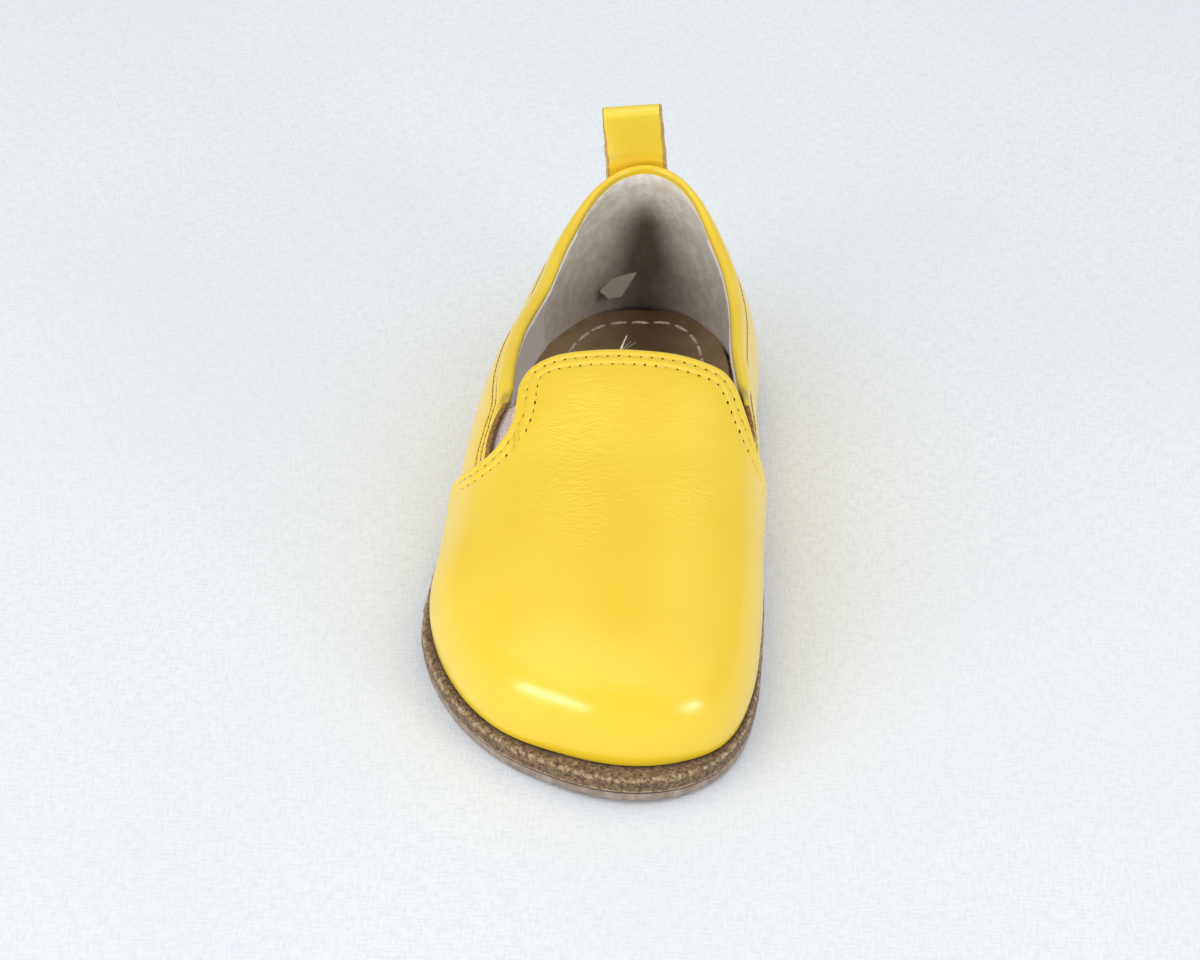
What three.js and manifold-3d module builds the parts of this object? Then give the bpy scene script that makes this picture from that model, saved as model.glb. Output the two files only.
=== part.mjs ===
// Child's leather slip-on shoe, right foot, standing empty on its sole.
// Millimetres. +Z is up, the toe points along -Y and the inner (medial) side faces +X.
// The last is described by cross-sections from heel to toe; every piece is worked out from them.

import * as THREE from 'three';
import Module from 'manifold-3d';

const wasm = await Module();
wasm.setup();

// Driving sizes

const SOLE_LENGTH = 176;
const HEEL_Y = 86;
const HEEL_AXIS_X = 4.5;
const TOE_AXIS_X = 11.5;
const BALL_WIDTH = 73.3;
const INSTEP_HEIGHT = 48;

const OUTSOLE_THICKNESS = 1.9;
const MIDSOLE_THICKNESS = 4;
const INSOLE_THICKNESS = 2;
const OUTSOLE_INSET = 0.5;
const OUTSOLE_BEVEL = 0.4;
const INSOLE_BEVEL_WIDTH = 0.4;
const INSOLE_BEVEL_DEPTH = 0.5;
const LAYER_GAP = 0.3;
const TOE_SPRING = 1.2;
const TOE_SPRING_START_Y = -58;
const ARCH_RISE = 0.8;
const ARCH_CENTRE_Y = 12;
const ARCH_HALF_LENGTH = 38;
const ARCH_OUTER_X = -30;
const ARCH_INNER_X = 25;

const QUARTER_WALL = 2;
const QUARTER_FRONT_WALL = 1.1;
const VAMP_STEP = 1.2;
const VAMP_INSIDE = 0.9;
const FOOT_TUCK = 0.6;
const HEEL_WAIST_RISE = 9.5;
const TOE_WAIST_RISE = 3;

const GORE_HALF_WIDTH = 5.5;
const GORE_THICKNESS = 1;
const GORE_TAIL = 1.15;
const GORE_CLEARANCE = 0.6;

const TAB_WIDTH = 14;
const TAB_THICKNESS = 1.2;
const TAB_CLEARANCE = 0.55;
const TAB_TOP = 62.2;
const TAB_BOTTOM = 34;
const TAB_CENTRE_X = 2.4;
const TAB_FOLD_GAP = 1.4;
const TAB_FOOT_GAP = 0.4;
const TAB_LEAN = 0.1;
const TAB_TILT = 0.12;

// Outline of the sole, one row for each station angle from the heel tip (0) to the toe tip (180).
// outer and inner: half widths as shares of the ball width, from the sole's long axis.

const STATION_STEP = 15;
const OUTLINE = [
  { outer: 0, inner: 0 },
  { outer: 0.156, inner: 0.153 },
  { outer: 0.286, inner: 0.265 },
  { outer: 0.39, inner: 0.347 },
  { outer: 0.447, inner: 0.371 },
  { outer: 0.509, inner: 0.361 },
  { outer: 0.565, inner: 0.377 },
  { outer: 0.613, inner: 0.386 },
  { outer: 0.622, inner: 0.379 },
  { outer: 0.532, inner: 0.355 },
  { outer: 0.382, inner: 0.288 },
  { outer: 0.183, inner: 0.164 },
  { outer: 0, inner: 0 },
];

// How far in from the sole's edge the upper's foot and the insole's edge stand, at the same stations.

const LEDGES = [
  { outerUpper: 1.4, innerUpper: 1.4, outerInsole: 6.8, innerInsole: 6.8 },
  { outerUpper: 1.4, innerUpper: 1.4, outerInsole: 5.9, innerInsole: 5.2 },
  { outerUpper: 1.4, innerUpper: 1.2, outerInsole: 3.9, innerInsole: 3.7 },
  { outerUpper: 1.3, innerUpper: 0.9, outerInsole: 4.2, innerInsole: 5.4 },
  { outerUpper: 1.2, innerUpper: 0.6, outerInsole: 4.8, innerInsole: 6.2 },
  { outerUpper: 1.4, innerUpper: 0.8, outerInsole: 4.2, innerInsole: 4.8 },
  { outerUpper: 2.4, innerUpper: 1.1, outerInsole: 5, innerInsole: 4.1 },
  { outerUpper: 4, innerUpper: 2.2, outerInsole: 6.6, innerInsole: 4.8 },
  { outerUpper: 3.9, innerUpper: 2.3, outerInsole: 6.5, innerInsole: 4.9 },
  { outerUpper: 3.4, innerUpper: 2.6, outerInsole: 6, innerInsole: 5.2 },
  { outerUpper: 3.4, innerUpper: 3.1, outerInsole: 6, innerInsole: 5.7 },
  { outerUpper: 4.9, innerUpper: 4.9, outerInsole: 7.5, innerInsole: 7.5 },
  { outerUpper: 5.4, innerUpper: 5.4, outerInsole: 8, innerInsole: 8 },
];

// Sections of the last at the same stations.
// crest: height of the ridge as a share of the instep height. ridgeX: where the ridge runs.
// outerFullness and innerFullness: exponent of the section's side, 2 for an ellipse.

const SECTIONS = [
  { crest: 0.333, ridgeX: 4.5, outerFullness: 2, innerFullness: 2 },
  { crest: 0.917, ridgeX: 4.7, outerFullness: 1.8, innerFullness: 1.8 },
  { crest: 1.235, ridgeX: 5.2, outerFullness: 1.6, innerFullness: 1.6 },
  { crest: 1.12, ridgeX: 5.9, outerFullness: 1.77, innerFullness: 1.79 },
  { crest: 1, ridgeX: 6.6, outerFullness: 2.15, innerFullness: 2.42 },
  { crest: 0.98, ridgeX: 7, outerFullness: 2.53, innerFullness: 3 },
  { crest: 1, ridgeX: 7, outerFullness: 2.2, innerFullness: 3.2 },
  { crest: 0.867, ridgeX: 7, outerFullness: 1.95, innerFullness: 3.2 },
  { crest: 0.754, ridgeX: 7, outerFullness: 1.95, innerFullness: 2.9 },
  { crest: 0.658, ridgeX: 7.6, outerFullness: 2.1, innerFullness: 2.6 },
  { crest: 0.567, ridgeX: 9, outerFullness: 2.3, innerFullness: 2.4 },
  { crest: 0.433, ridgeX: 10.8, outerFullness: 2.3, innerFullness: 2.3 },
  { crest: 0.233, ridgeX: 11.5, outerFullness: 2.3, innerFullness: 2.3 },
];

// Collar line of the quarters, from under the vamp to the back of the heel.

const COLLAR = [
  { outerY: -25, outerZ: 29, innerY: -21, innerZ: 29 },
  { outerY: -17, outerZ: 31.2, innerY: -12.5, innerZ: 31.4 },
  { outerY: -11, outerZ: 33, innerY: -6, innerZ: 33.2 },
  { outerY: -6.5, outerZ: 35.4, innerY: -1.5, innerZ: 35.8 },
  { outerY: -2.5, outerZ: 38.4, innerY: 2.5, innerZ: 38.6 },
  { outerY: 2.5, outerZ: 39.3, innerY: 7.5, innerZ: 39.4 },
  { outerY: 20, outerZ: 39.4, innerY: 22, innerZ: 39.6 },
  { outerY: 42, outerZ: 39.9, innerY: 42, innerZ: 40 },
  { outerY: 62, outerZ: 42.9, innerY: 62, innerZ: 43 },
  { outerY: 75, outerZ: 47.4, innerY: 75, innerZ: 47.4 },
  { outerY: 81, outerZ: 49.3, innerY: 81, innerZ: 49.3 },
];

// Rolled rim of the collar and rounded back edge of the vamp.
// depth: distance from the edge. swell: half thickness as a share of the wall's.
// shift: how far the roll stands outwards. Round the heel it is slim and stands in the wall's line.

const COLLAR_RIM = [
  { depth: 3.8, swell: 1, shift: 0 },
  { depth: 2.9, swell: 1.38, shift: 0.2 },
  { depth: 1.6, swell: 1.5, shift: 0.3 },
  { depth: 0.45, swell: 1.15, shift: 0.3 },
  { depth: 0, swell: 0.45, shift: 0.3 },
];
const HEEL_ROLL_SHARE = 0.2;
const HEEL_ROLL_FROM_Y = 60;
const HEEL_ROLL_TO_Y = 76;

const VAMP_RIM = [
  { depth: 1.4, swell: 1 },
  { depth: 0.4, swell: 0.85 },
  { depth: 0, swell: 0.4 },
];

// Worn edge of the midsole. rise: height above its underside.

const MIDSOLE_RIM = [
  { inset: 0.4, rise: 0 },
  { inset: 0, rise: 0.7 },
  { inset: 0, rise: 2.3 },
  { inset: 0.45, rise: 3.4 },
  { inset: 1.5, rise: MIDSOLE_THICKNESS },
];

// Back edge of the vamp, from the outer seam round the throat to the inner seam.
// across is a share of the section's half width, 0 at the ridge and 1 at the widest line.

const VAMP_EDGE = [
  { across: -1, y: -9 },
  { across: -0.93, y: -13.5 },
  { across: -0.82, y: -16.6 },
  { across: -0.725, y: -15.8 },
  { across: -0.645, y: -11.3 },
  { across: -0.638, y: -6 },
  { across: -0.632, y: -1.2 },
  { across: -0.585, y: 1.7 },
  { across: -0.48, y: 3 },
  { across: -0.25, y: 2.6 },
  { across: 0.05, y: 2.3 },
  { across: 0.32, y: 1.8 },
  { across: 0.52, y: 1.1 },
  { across: 0.68, y: 0.6 },
  { across: 0.75, y: -1.2 },
  { across: 0.8, y: -4 },
  { across: 0.862, y: -8.2 },
  { across: 0.925, y: -11.6 },
  { across: 0.983, y: -10.3 },
  { across: 1, y: -6.8 },
];

// Quarters: where their hidden front ends stand, how far they lean forward, where they thicken.

const QUARTER_SIDES = {
  outer: { sign: -1, frontY: -15, lean: 9, fullFromY: -3, fullToY: 3 },
  inner: { sign: 1, frontY: -11, lean: 8, fullFromY: 2, fullToY: 8 },
};
const LEAN_END_Y = 24;
const HEEL_BLEND_START_Y = 20;
const SEAM_FOOT_SHIFT = 1.5;
const TOE_CORNER_ANGLE = 150;

// Slots of the elastic gores: the two ends of each slot's middle line.

const GORES = [
  { name: 'gore_lateral', side: 'outer', topY: -4.2, topZ: 38.4, bottomY: -17.5, bottomZ: 32.2 },
  { name: 'gore_medial', side: 'inner', topY: 0.8, topZ: 38, bottomY: -12.5, bottomZ: 31.8 },
];

// Facets

const QUARTER_COLUMNS = 66;
const QUARTER_WALL_ROWS = 5;
const VAMP_COLUMNS = 46;
const VAMP_FACE_ROWS = 16;
const TUCK_ROWS = 2;
const SOLE_STATIONS = 40;
const SOLE_STRIPS = 4;
const GORE_FACETS = 6;
const TAB_LEG_ROWS = 8;
const TAB_FOLD_ROWS = 6;
const TAB_STRIPS = 5;

const LEATHER_YELLOW = new THREE.MeshStandardMaterial({ color: 0xf6d22e, roughness: 0.42, metalness: 0 });
const ELASTIC_GREY = new THREE.MeshStandardMaterial({ color: 0xc8beb8, roughness: 0.95, metalness: 0 });
const SOLE_LEATHER = new THREE.MeshStandardMaterial({ color: 0x82694b, roughness: 0.85, metalness: 0 });
const INSOLE_LEATHER = new THREE.MeshStandardMaterial({ color: 0x6e5537, roughness: 0.7, metalness: 0 });
const SOLE_RUBBER = new THREE.MeshStandardMaterial({ color: 0xaa9b91, roughness: 0.9, metalness: 0 });

// Smooth values between table rows

const { lerp } = THREE.MathUtils;
const clamp01 = (value) => Math.min(1, Math.max(0, value));

const smoothStep = (low, high, value) => {
  const t = clamp01((value - low) / (high - low));
  return t * t * (3 - 2 * t);
};

function catmullRom(before, from, to, after, t) {
  const linear = to - before;
  const square = 2 * before - 5 * from + 4 * to - after;
  const cube = 3 * from - before - 3 * to + after;
  return 0.5 * (2 * from + t * (linear + t * (square + t * cube)));
}

// Value of one column at a station angle. A half width changes sign past a tip, so that it closes round.
function stationValue(table, column, angle) {
  const last = table.length - 1;
  const place = Math.min(Math.abs(angle) / STATION_STEP, last - 1e-9);
  const row = Math.floor(place);
  const mirror = column === 'outer' || column === 'inner' ? -1 : 1;
  const before = row > 0 ? table[row - 1][column] : mirror * table[1][column];
  const after = row + 2 <= last ? table[row + 2][column] : mirror * table[last - 1][column];
  return catmullRom(before, table[row][column], table[row + 1][column], after, place - row);
}

const sideName = (sign) => (sign < 0 ? 'outer' : 'inner');

// Largest input, by halving, for which a test that starts true still holds.
function lastWhere(low, high, test) {
  let from = low;
  let to = high;
  for (let i = 0; i < 40; i += 1) {
    const middle = (from + to) / 2;
    if (test(middle)) {
      from = middle;
    } else {
      to = middle;
    }
  }
  return (from + to) / 2;
}

// The sole's outline. An angle of 0 is the heel tip and 180 the toe tip; the outer side is negative.

const wrapAngle = (angle) => ((((angle + 180) % 360) + 360) % 360) - 180;

function soleEdge(angle) {
  const turn = wrapAngle(angle);
  const along = (1 - Math.cos(THREE.MathUtils.degToRad(turn))) / 2;
  const sign = turn < 0 ? -1 : 1;
  const half = BALL_WIDTH * stationValue(OUTLINE, sideName(sign), turn);
  const axisX = lerp(HEEL_AXIS_X, TOE_AXIS_X, along);
  return new THREE.Vector2(axisX + sign * half, HEEL_Y - SOLE_LENGTH * along);
}

// The outline moved in along its own normal, found from two points a small angle to each side.
const EDGE_PROBE_ANGLE = 0.5;
function insetEdge(angle, inset) {
  const point = soleEdge(angle);
  const ahead = soleEdge(angle + EDGE_PROBE_ANGLE);
  const tangent = ahead.sub(soleEdge(angle - EDGE_PROBE_ANGLE)).normalize();
  return new THREE.Vector2(point.x + tangent.y * inset, point.y - tangent.x * inset);
}

function upperLedge(angle) {
  const turn = wrapAngle(angle);
  return stationValue(LEDGES, `${sideName(turn)}Upper`, turn);
}

function insoleLedge(angle) {
  const turn = wrapAngle(angle);
  return stationValue(LEDGES, `${sideName(turn)}Insole`, turn);
}

const upperFoot = (angle) => insetEdge(angle, upperLedge(angle));
const upperWidest = (angle) => insetEdge(angle, upperLedge(angle) - FOOT_TUCK);

const HEEL_TIP = upperWidest(0).y;
const TOE_TIP = upperWidest(180).y;

const angleAtY = (y, sign) => sign * lastWhere(0, 180, (angle) => upperWidest(sign * angle).y > y);

// Toe spring and arch of the sole

function soleLift(x, y) {
  const toe = clamp01((TOE_SPRING_START_Y - y) / (TOE_SPRING_START_Y - (HEEL_Y - SOLE_LENGTH)));
  const arch = Math.cos((Math.PI / 2) * Math.min(1, Math.abs(y - ARCH_CENTRE_Y) / ARCH_HALF_LENGTH));
  return TOE_SPRING * toe * toe + ARCH_RISE * arch * arch * smoothStep(ARCH_OUTER_X, ARCH_INNER_X, x);
}

const MIDSOLE_BASE = OUTSOLE_THICKNESS + LAYER_GAP;
const UPPER_BASE = MIDSOLE_BASE + MIDSOLE_THICKNESS + LAYER_GAP;

// The last's surface: each section has a side of its own fullness between widest line and ridge.

const shareAlong = (y) => clamp01((HEEL_TIP - y) / (HEEL_TIP - TOE_TIP));
const stationAngle = (y) => THREE.MathUtils.radToDeg(Math.acos(1 - 2 * shareAlong(y)));
const ridgeX = (y) => stationValue(SECTIONS, 'ridgeX', stationAngle(y));
const ridgeZ = (y) => INSTEP_HEIGHT * stationValue(SECTIONS, 'crest', stationAngle(y));
const fullness = (y, sign) => stationValue(SECTIONS, `${sideName(sign)}Fullness`, stationAngle(y));

function waistZ(y) {
  return UPPER_BASE + soleLift(ARCH_OUTER_X, y) + lerp(HEEL_WAIST_RISE, TOE_WAIST_RISE, shareAlong(y));
}

const widestX = (y, sign) => upperWidest(angleAtY(y, sign)).x;
const superellipse = (share, exponent) => Math.pow(1 - Math.pow(clamp01(share), exponent), 1 / exponent);

// Point of the surface at a share of the half width, negative on the outer side.
function lastPoint(across, y) {
  const sign = across < 0 ? -1 : 1;
  const height = waistZ(y) + (ridgeZ(y) - waistZ(y)) * superellipse(Math.abs(across), fullness(y, sign));
  const x = lerp(ridgeX(y), widestX(y, sign), Math.min(1, Math.abs(across)));
  return new THREE.Vector3(x, y, height);
}

// x of the wall at a height above the widest line.
function wallX(y, z, sign) {
  const rise = (z - waistZ(y)) / Math.max(1e-6, ridgeZ(y) - waistZ(y));
  return lerp(ridgeX(y), widestX(y, sign), superellipse(rise, fullness(y, sign)));
}

// The back of the heel at a height: where the ridge has that height.
const HEEL_RIDGE_Y = 60;
const heelBackY = (z) => lastWhere(HEEL_RIDGE_Y, HEEL_TIP, (y) => ridgeZ(y) > z);

// From the widest line (0) down to the foot (1) the wall tucks in towards the sole.
function tuckPoint(angle, drop) {
  const widest = upperWidest(angle);
  const foot = upperFoot(angle);
  const plan = widest.clone().lerp(foot, drop * drop);
  const footZ = UPPER_BASE + soleLift(foot.x, foot.y);
  return new THREE.Vector3(plan.x, plan.y, lerp(waistZ(widest.y), footZ, drop));
}

// Sheets: grids of points on a surface, given thickness along their own normals

// A grid of points and its triangles. Columns turn to the left of rows, seen from outside.
function gridSheet(columns, rows, place) {
  const points = [];
  const triangles = [];
  for (let column = 0; column <= columns; column += 1) {
    for (let row = 0; row <= rows; row += 1) {
      points.push(place(column, row));
      if (column < columns && row < rows) {
        const a = column * (rows + 1) + row;
        const b = a + rows + 1;
        triangles.push([a, b, b + 1], [a, b + 1, a + 1]);
      }
    }
  }
  return { points, triangles, footPoints: [] };
}

function sheetNormals({ points, triangles, footPoints }) {
  const normals = points.map(() => new THREE.Vector3());
  for (const triangle of triangles) {
    const [a, b, c] = triangle.map((i) => points[i]);
    const normal = b.clone().sub(a).cross(c.clone().sub(a));
    for (const i of triangle) {
      normals[i].add(normal);
    }
  }
  for (const i of footPoints) {
    normals[i].z = 0;
  }
  return normals.map((normal) => normal.normalize());
}

// Edges that belong to one triangle only, in that triangle's direction.
function openEdges(triangles) {
  const edges = new Map();
  for (const triangle of triangles) {
    for (let i = 0; i < 3; i += 1) {
      const from = triangle[i];
      const to = triangle[(i + 1) % 3];
      if (!edges.delete(`${to}_${from}`)) {
        edges.set(`${from}_${to}`, [from, to]);
      }
    }
  }
  return [...edges.values()];
}

// A closed wall between two copies of a sheet, moved along its normals.
function thicken(sheet, outsideOffset, insideOffset) {
  const normals = sheetNormals(sheet);
  const count = sheet.points.length;
  const moved = (offset) =>
    sheet.points.map((point, i) => point.clone().addScaledVector(normals[i], offset(i)));
  const triangles = [...sheet.triangles];
  for (const [a, b, c] of sheet.triangles) {
    triangles.push([a + count, c + count, b + count]);
  }
  for (const [from, to] of openEdges(sheet.triangles)) {
    triangles.push([to, from, from + count], [to, from + count, to + count]);
  }
  return { points: [...moved(outsideOffset), ...moved(insideOffset)], triangles };
}

// Equal points become one, and triangles that this closes up are left out.
function weld({ points, triangles }) {
  const places = new Map();
  const kept = [];
  const index = points.map((point) => {
    const key = point.toArray().map((value) => Math.round(value * 1e4)).join('_');
    if (!places.has(key)) {
      places.set(key, kept.length);
      kept.push(point);
    }
    return places.get(key);
  });
  const faces = triangles.map((triangle) => triangle.map((i) => index[i]));
  return { points: kept, triangles: faces.filter(([a, b, c]) => a !== b && b !== c && c !== a) };
}

function toManifold(solid) {
  const { points, triangles } = weld(solid);
  const vertProperties = new Float32Array(points.flatMap((point) => point.toArray()));
  const triVerts = new Uint32Array(triangles.flat());
  return new wasm.Manifold(new wasm.Mesh({ numProp: 3, vertProperties, triVerts }));
}

function makeMesh(name, solid, material) {
  const { vertProperties, triVerts } = solid.getMesh();
  const geometry = new THREE.BufferGeometry();
  geometry.setAttribute('position', new THREE.BufferAttribute(vertProperties, 3));
  geometry.setIndex(new THREE.BufferAttribute(triVerts, 1));
  geometry.computeVertexNormals();
  const mesh = new THREE.Mesh(geometry, material);
  mesh.name = name;
  return mesh;
}

// Quarters: the wall from the vamp's outer seam round the heel to its inner seam

// Height of the collar above a y on one side, a smooth curve through the collar table.
function collarZ(y, sign) {
  const yColumn = `${sideName(sign)}Y`;
  const zColumn = `${sideName(sign)}Z`;
  const last = COLLAR.length - 1;
  let row = 0;
  while (row < last - 1 && COLLAR[row + 1][yColumn] < y) {
    row += 1;
  }
  const at = (i) => COLLAR[Math.min(last, Math.max(0, i))];
  const span = at(row + 1)[yColumn] - at(row)[yColumn];
  const slope = (i) => {
    const rise = at(i + 1)[zColumn] - at(i - 1)[zColumn];
    return (rise / (at(i + 1)[yColumn] - at(i - 1)[yColumn])) * span;
  };
  const t = clamp01((y - at(row)[yColumn]) / span);
  const ease = t * t * (3 - 2 * t);
  const leave = t * (1 - t) * (1 - t) * slope(row);
  const arrive = t * t * (t - 1) * slope(row + 1);
  return lerp(at(row)[zColumn], at(row + 1)[zColumn], ease) + leave + arrive;
}

// A column of the quarters leans forward near the seam and follows the heel's back near the heel.
function quarterY(footY, z, rise, sign) {
  const { frontY, lean } = QUARTER_SIDES[sideName(sign)];
  const front = clamp01((LEAN_END_Y - footY) / (LEAN_END_Y - frontY));
  const heel = clamp01((footY - HEEL_BLEND_START_Y) / (HEEL_TIP - HEEL_BLEND_START_Y));
  return footY - lean * front * front * rise + heel * heel * (heelBackY(z) - HEEL_TIP);
}

function quarterTop(footY, sign) {
  let top = collarZ(footY, sign);
  for (let i = 0; i < 8; i += 1) {
    top = collarZ(quarterY(footY, top, 1, sign), sign);
  }
  return top;
}

const QUARTER_ROWS = TUCK_ROWS + QUARTER_WALL_ROWS + COLLAR_RIM.length - 1;

function quarterPoint(angle, row) {
  if (row < TUCK_ROWS) {
    return tuckPoint(angle, 1 - row / TUCK_ROWS);
  }
  const sign = angle < 0 ? -1 : 1;
  const footY = upperWidest(angle).y;
  const waist = waistZ(footY);
  const top = quarterTop(footY, sign);
  const rimRow = row - TUCK_ROWS - QUARTER_WALL_ROWS;
  const shareUp = (row - TUCK_ROWS) / QUARTER_WALL_ROWS;
  const z = rimRow < 0 ? lerp(waist, top - COLLAR_RIM[0].depth, shareUp) : top - COLLAR_RIM[rimRow].depth;
  const y = quarterY(footY, z, (z - waist) / (top - waist), sign);
  return new THREE.Vector3(wallX(y, z, sign), y, z);
}

function makeQuarters() {
  const from = angleAtY(QUARTER_SIDES.inner.frontY, 1);
  const to = angleAtY(QUARTER_SIDES.outer.frontY, -1);
  const sheet = gridSheet(QUARTER_COLUMNS, QUARTER_ROWS, (column, row) =>
    quarterPoint(lerp(from, to, column / QUARTER_COLUMNS), row),
  );
  sheet.footPoints = sheet.points.map((point, i) => i).filter((i) => i % (QUARTER_ROWS + 1) === 0);
  const fullShare = (i) => {
    const { fullFromY, fullToY } = QUARTER_SIDES[sheet.points[i].x < HEEL_AXIS_X ? 'outer' : 'inner'];
    return smoothStep(fullFromY, fullToY, sheet.points[i].y);
  };
  const wall = (i) => lerp(QUARTER_FRONT_WALL, QUARTER_WALL, fullShare(i));
  const rim = (i) => {
    const rimRow = (i % (QUARTER_ROWS + 1)) - TUCK_ROWS - QUARTER_WALL_ROWS;
    return COLLAR_RIM[Math.max(0, rimRow)];
  };
  const rollShare = (i) => 1 - smoothStep(HEEL_ROLL_FROM_Y, HEEL_ROLL_TO_Y, sheet.points[i].y);
  const swell = (i) => {
    const plain = Math.min(1, rim(i).swell);
    const roll = (rim(i).swell - plain) * lerp(HEEL_ROLL_SHARE, 1, rollShare(i));
    return plain + roll * fullShare(i);
  };
  const shift = (i) => rim(i).shift * rollShare(i) * fullShare(i);
  return thicken(
    sheet,
    (i) => shift(i) + (wall(i) / 2) * (swell(i) - 1),
    (i) => shift(i) + (wall(i) / 2) * (-swell(i) - 1),
  );
}

// Vamp: a patch between the toe's outline, the two sides and its back edge

const vampEdgeCurve = new THREE.CatmullRomCurve3(
  VAMP_EDGE.map(({ across, y }) => lastPoint(across, y)),
  false,
  'centripetal',
);

const OUTER_SEAM_ANGLE = angleAtY(VAMP_EDGE[0].y, -1);
const INNER_SEAM_ANGLE = angleAtY(VAMP_EDGE[VAMP_EDGE.length - 1].y, 1);
const outerSideAngle = (share) => lerp(-TOE_CORNER_ANGLE, OUTER_SEAM_ANGLE, share);
const innerSideAngle = (share) => lerp(TOE_CORNER_ANGLE, INNER_SEAM_ANGLE, share);
const toeAngle = (share) => -TOE_CORNER_ANGLE - share * (360 - 2 * TOE_CORNER_ANGLE);

// Blend of the four boundaries seen from above: across from outer to inner side, back from the toe.
function vampPlan(across, back) {
  const toe = [upperWidest(toeAngle(0)), upperWidest(toeAngle(across)), upperWidest(toeAngle(1))];
  const edge = [0, across, 1].map((share) => vampEdgeCurve.getPointAt(share));
  const outer = upperWidest(outerSideAngle(back));
  const inner = upperWidest(innerSideAngle(back));
  const mix = (key) => {
    const lengthwise = lerp(toe[1][key], edge[1][key], back);
    const crosswise = lerp(outer[key], inner[key], across);
    const outerCorners = lerp(toe[0][key], edge[0][key], back);
    const innerCorners = lerp(toe[2][key], edge[2][key], back);
    return lengthwise + crosswise - lerp(outerCorners, innerCorners, across);
  };
  return new THREE.Vector2(mix('x'), mix('y'));
}

function vampPoint(across, back) {
  const { x, y } = vampPlan(across, back);
  const sign = x < ridgeX(y) ? -1 : 1;
  const reach = Math.max(1e-6, Math.abs(widestX(y, sign) - ridgeX(y)));
  return lastPoint((sign * Math.abs(x - ridgeX(y))) / reach, y);
}

const VAMP_ROWS = VAMP_FACE_ROWS + VAMP_RIM.length - 1;
const TOE_ROW_POWER = 1.5;
const SEAM_FOOT_POWER = 8;
const EDGE_PROBE_SHARE = 0.1;

// Columns close up at both sides, where the wall is steep.
const vampAcross = (column) => (1 - Math.cos((Math.PI * column) / VAMP_COLUMNS)) / 2;

// Rows close up at the toe, and the last ones stand at set distances from the back edge.
function vampBack(column, row) {
  const across = vampAcross(column);
  const probe = vampPoint(across, 1).distanceTo(vampPoint(across, 1 - EDGE_PROBE_SHARE));
  const reach = probe / EDGE_PROBE_SHARE;
  const rimRow = row - VAMP_FACE_ROWS;
  if (rimRow >= 0) {
    return 1 - VAMP_RIM[rimRow].depth / reach;
  }
  return Math.pow(row / VAMP_FACE_ROWS, TOE_ROW_POWER) * (1 - VAMP_RIM[0].depth / reach);
}

// The vamp's grid, with rows added under its outline down to the foot.
function vampSheet() {
  const stride = VAMP_ROWS + 1;
  const sheet = gridSheet(VAMP_COLUMNS, VAMP_ROWS, (column, row) =>
    vampPoint(vampAcross(column), vampBack(column, row)),
  );
  sheet.rowOf = sheet.points.map((point, i) => i % stride);
  const outline = [];
  for (let row = VAMP_ROWS; row > 0; row -= 1) {
    outline.push({ index: row, row, angle: outerSideAngle(vampBack(0, row)) });
  }
  for (let column = 0; column <= VAMP_COLUMNS; column += 1) {
    outline.push({ index: column * stride, row: 0, angle: toeAngle(vampAcross(column)) });
  }
  for (let row = 1; row <= VAMP_ROWS; row += 1) {
    const angle = innerSideAngle(vampBack(VAMP_COLUMNS, row));
    outline.push({ index: VAMP_COLUMNS * stride + row, row, angle });
  }
  let above = outline.map(({ index }) => index);
  for (let step = 1; step <= TUCK_ROWS; step += 1) {
    const drop = step / TUCK_ROWS;
    const below = outline.map(({ row, angle }) => {
      const point = tuckPoint(angle, drop);
      point.y += SEAM_FOOT_SHIFT * drop * Math.pow(row / VAMP_ROWS, SEAM_FOOT_POWER);
      sheet.rowOf.push(row);
      return sheet.points.push(point) - 1;
    });
    for (let i = 0; i + 1 < outline.length; i += 1) {
      sheet.triangles.push([above[i], below[i], below[i + 1]], [above[i], below[i + 1], above[i + 1]]);
    }
    above = below;
  }
  sheet.footPoints = above;
  return sheet;
}

function makeVamp() {
  const sheet = vampSheet();
  const middle = (VAMP_STEP - VAMP_INSIDE) / 2;
  const half = (i) => {
    const rimRow = sheet.rowOf[i] - VAMP_FACE_ROWS;
    return ((VAMP_STEP + VAMP_INSIDE) / 2) * (rimRow < 0 ? 1 : VAMP_RIM[rimRow].swell);
  };
  return thicken(
    sheet,
    (i) => middle + half(i),
    (i) => middle - half(i),
  );
}

// Elastic gores: small panels inside the wall, behind the slots

function makeGore({ side, topY, topZ, bottomY, bottomZ }) {
  const { sign } = QUARTER_SIDES[side];
  const along = new THREE.Vector2(bottomY - topY, bottomZ - topZ);
  const widthwise = new THREE.Vector2(-along.y, along.x).normalize();
  const sheet = gridSheet(GORE_FACETS, GORE_FACETS, (column, row) => {
    const spread = sign * GORE_HALF_WIDTH * (1 - (2 * column) / GORE_FACETS);
    const down = (GORE_TAIL * row) / GORE_FACETS;
    const y = topY + along.x * down + widthwise.x * spread;
    const z = topZ + along.y * down + widthwise.y * spread;
    return new THREE.Vector3(wallX(y, z, sign), y, z);
  });
  const depth = QUARTER_FRONT_WALL + GORE_CLEARANCE;
  return thicken(
    sheet,
    () => -depth,
    () => -depth - GORE_THICKNESS,
  );
}

// Layers of the sole: stacked outlines with a top and a bottom face.
// profile rows run from the bottom face to the top face.

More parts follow.
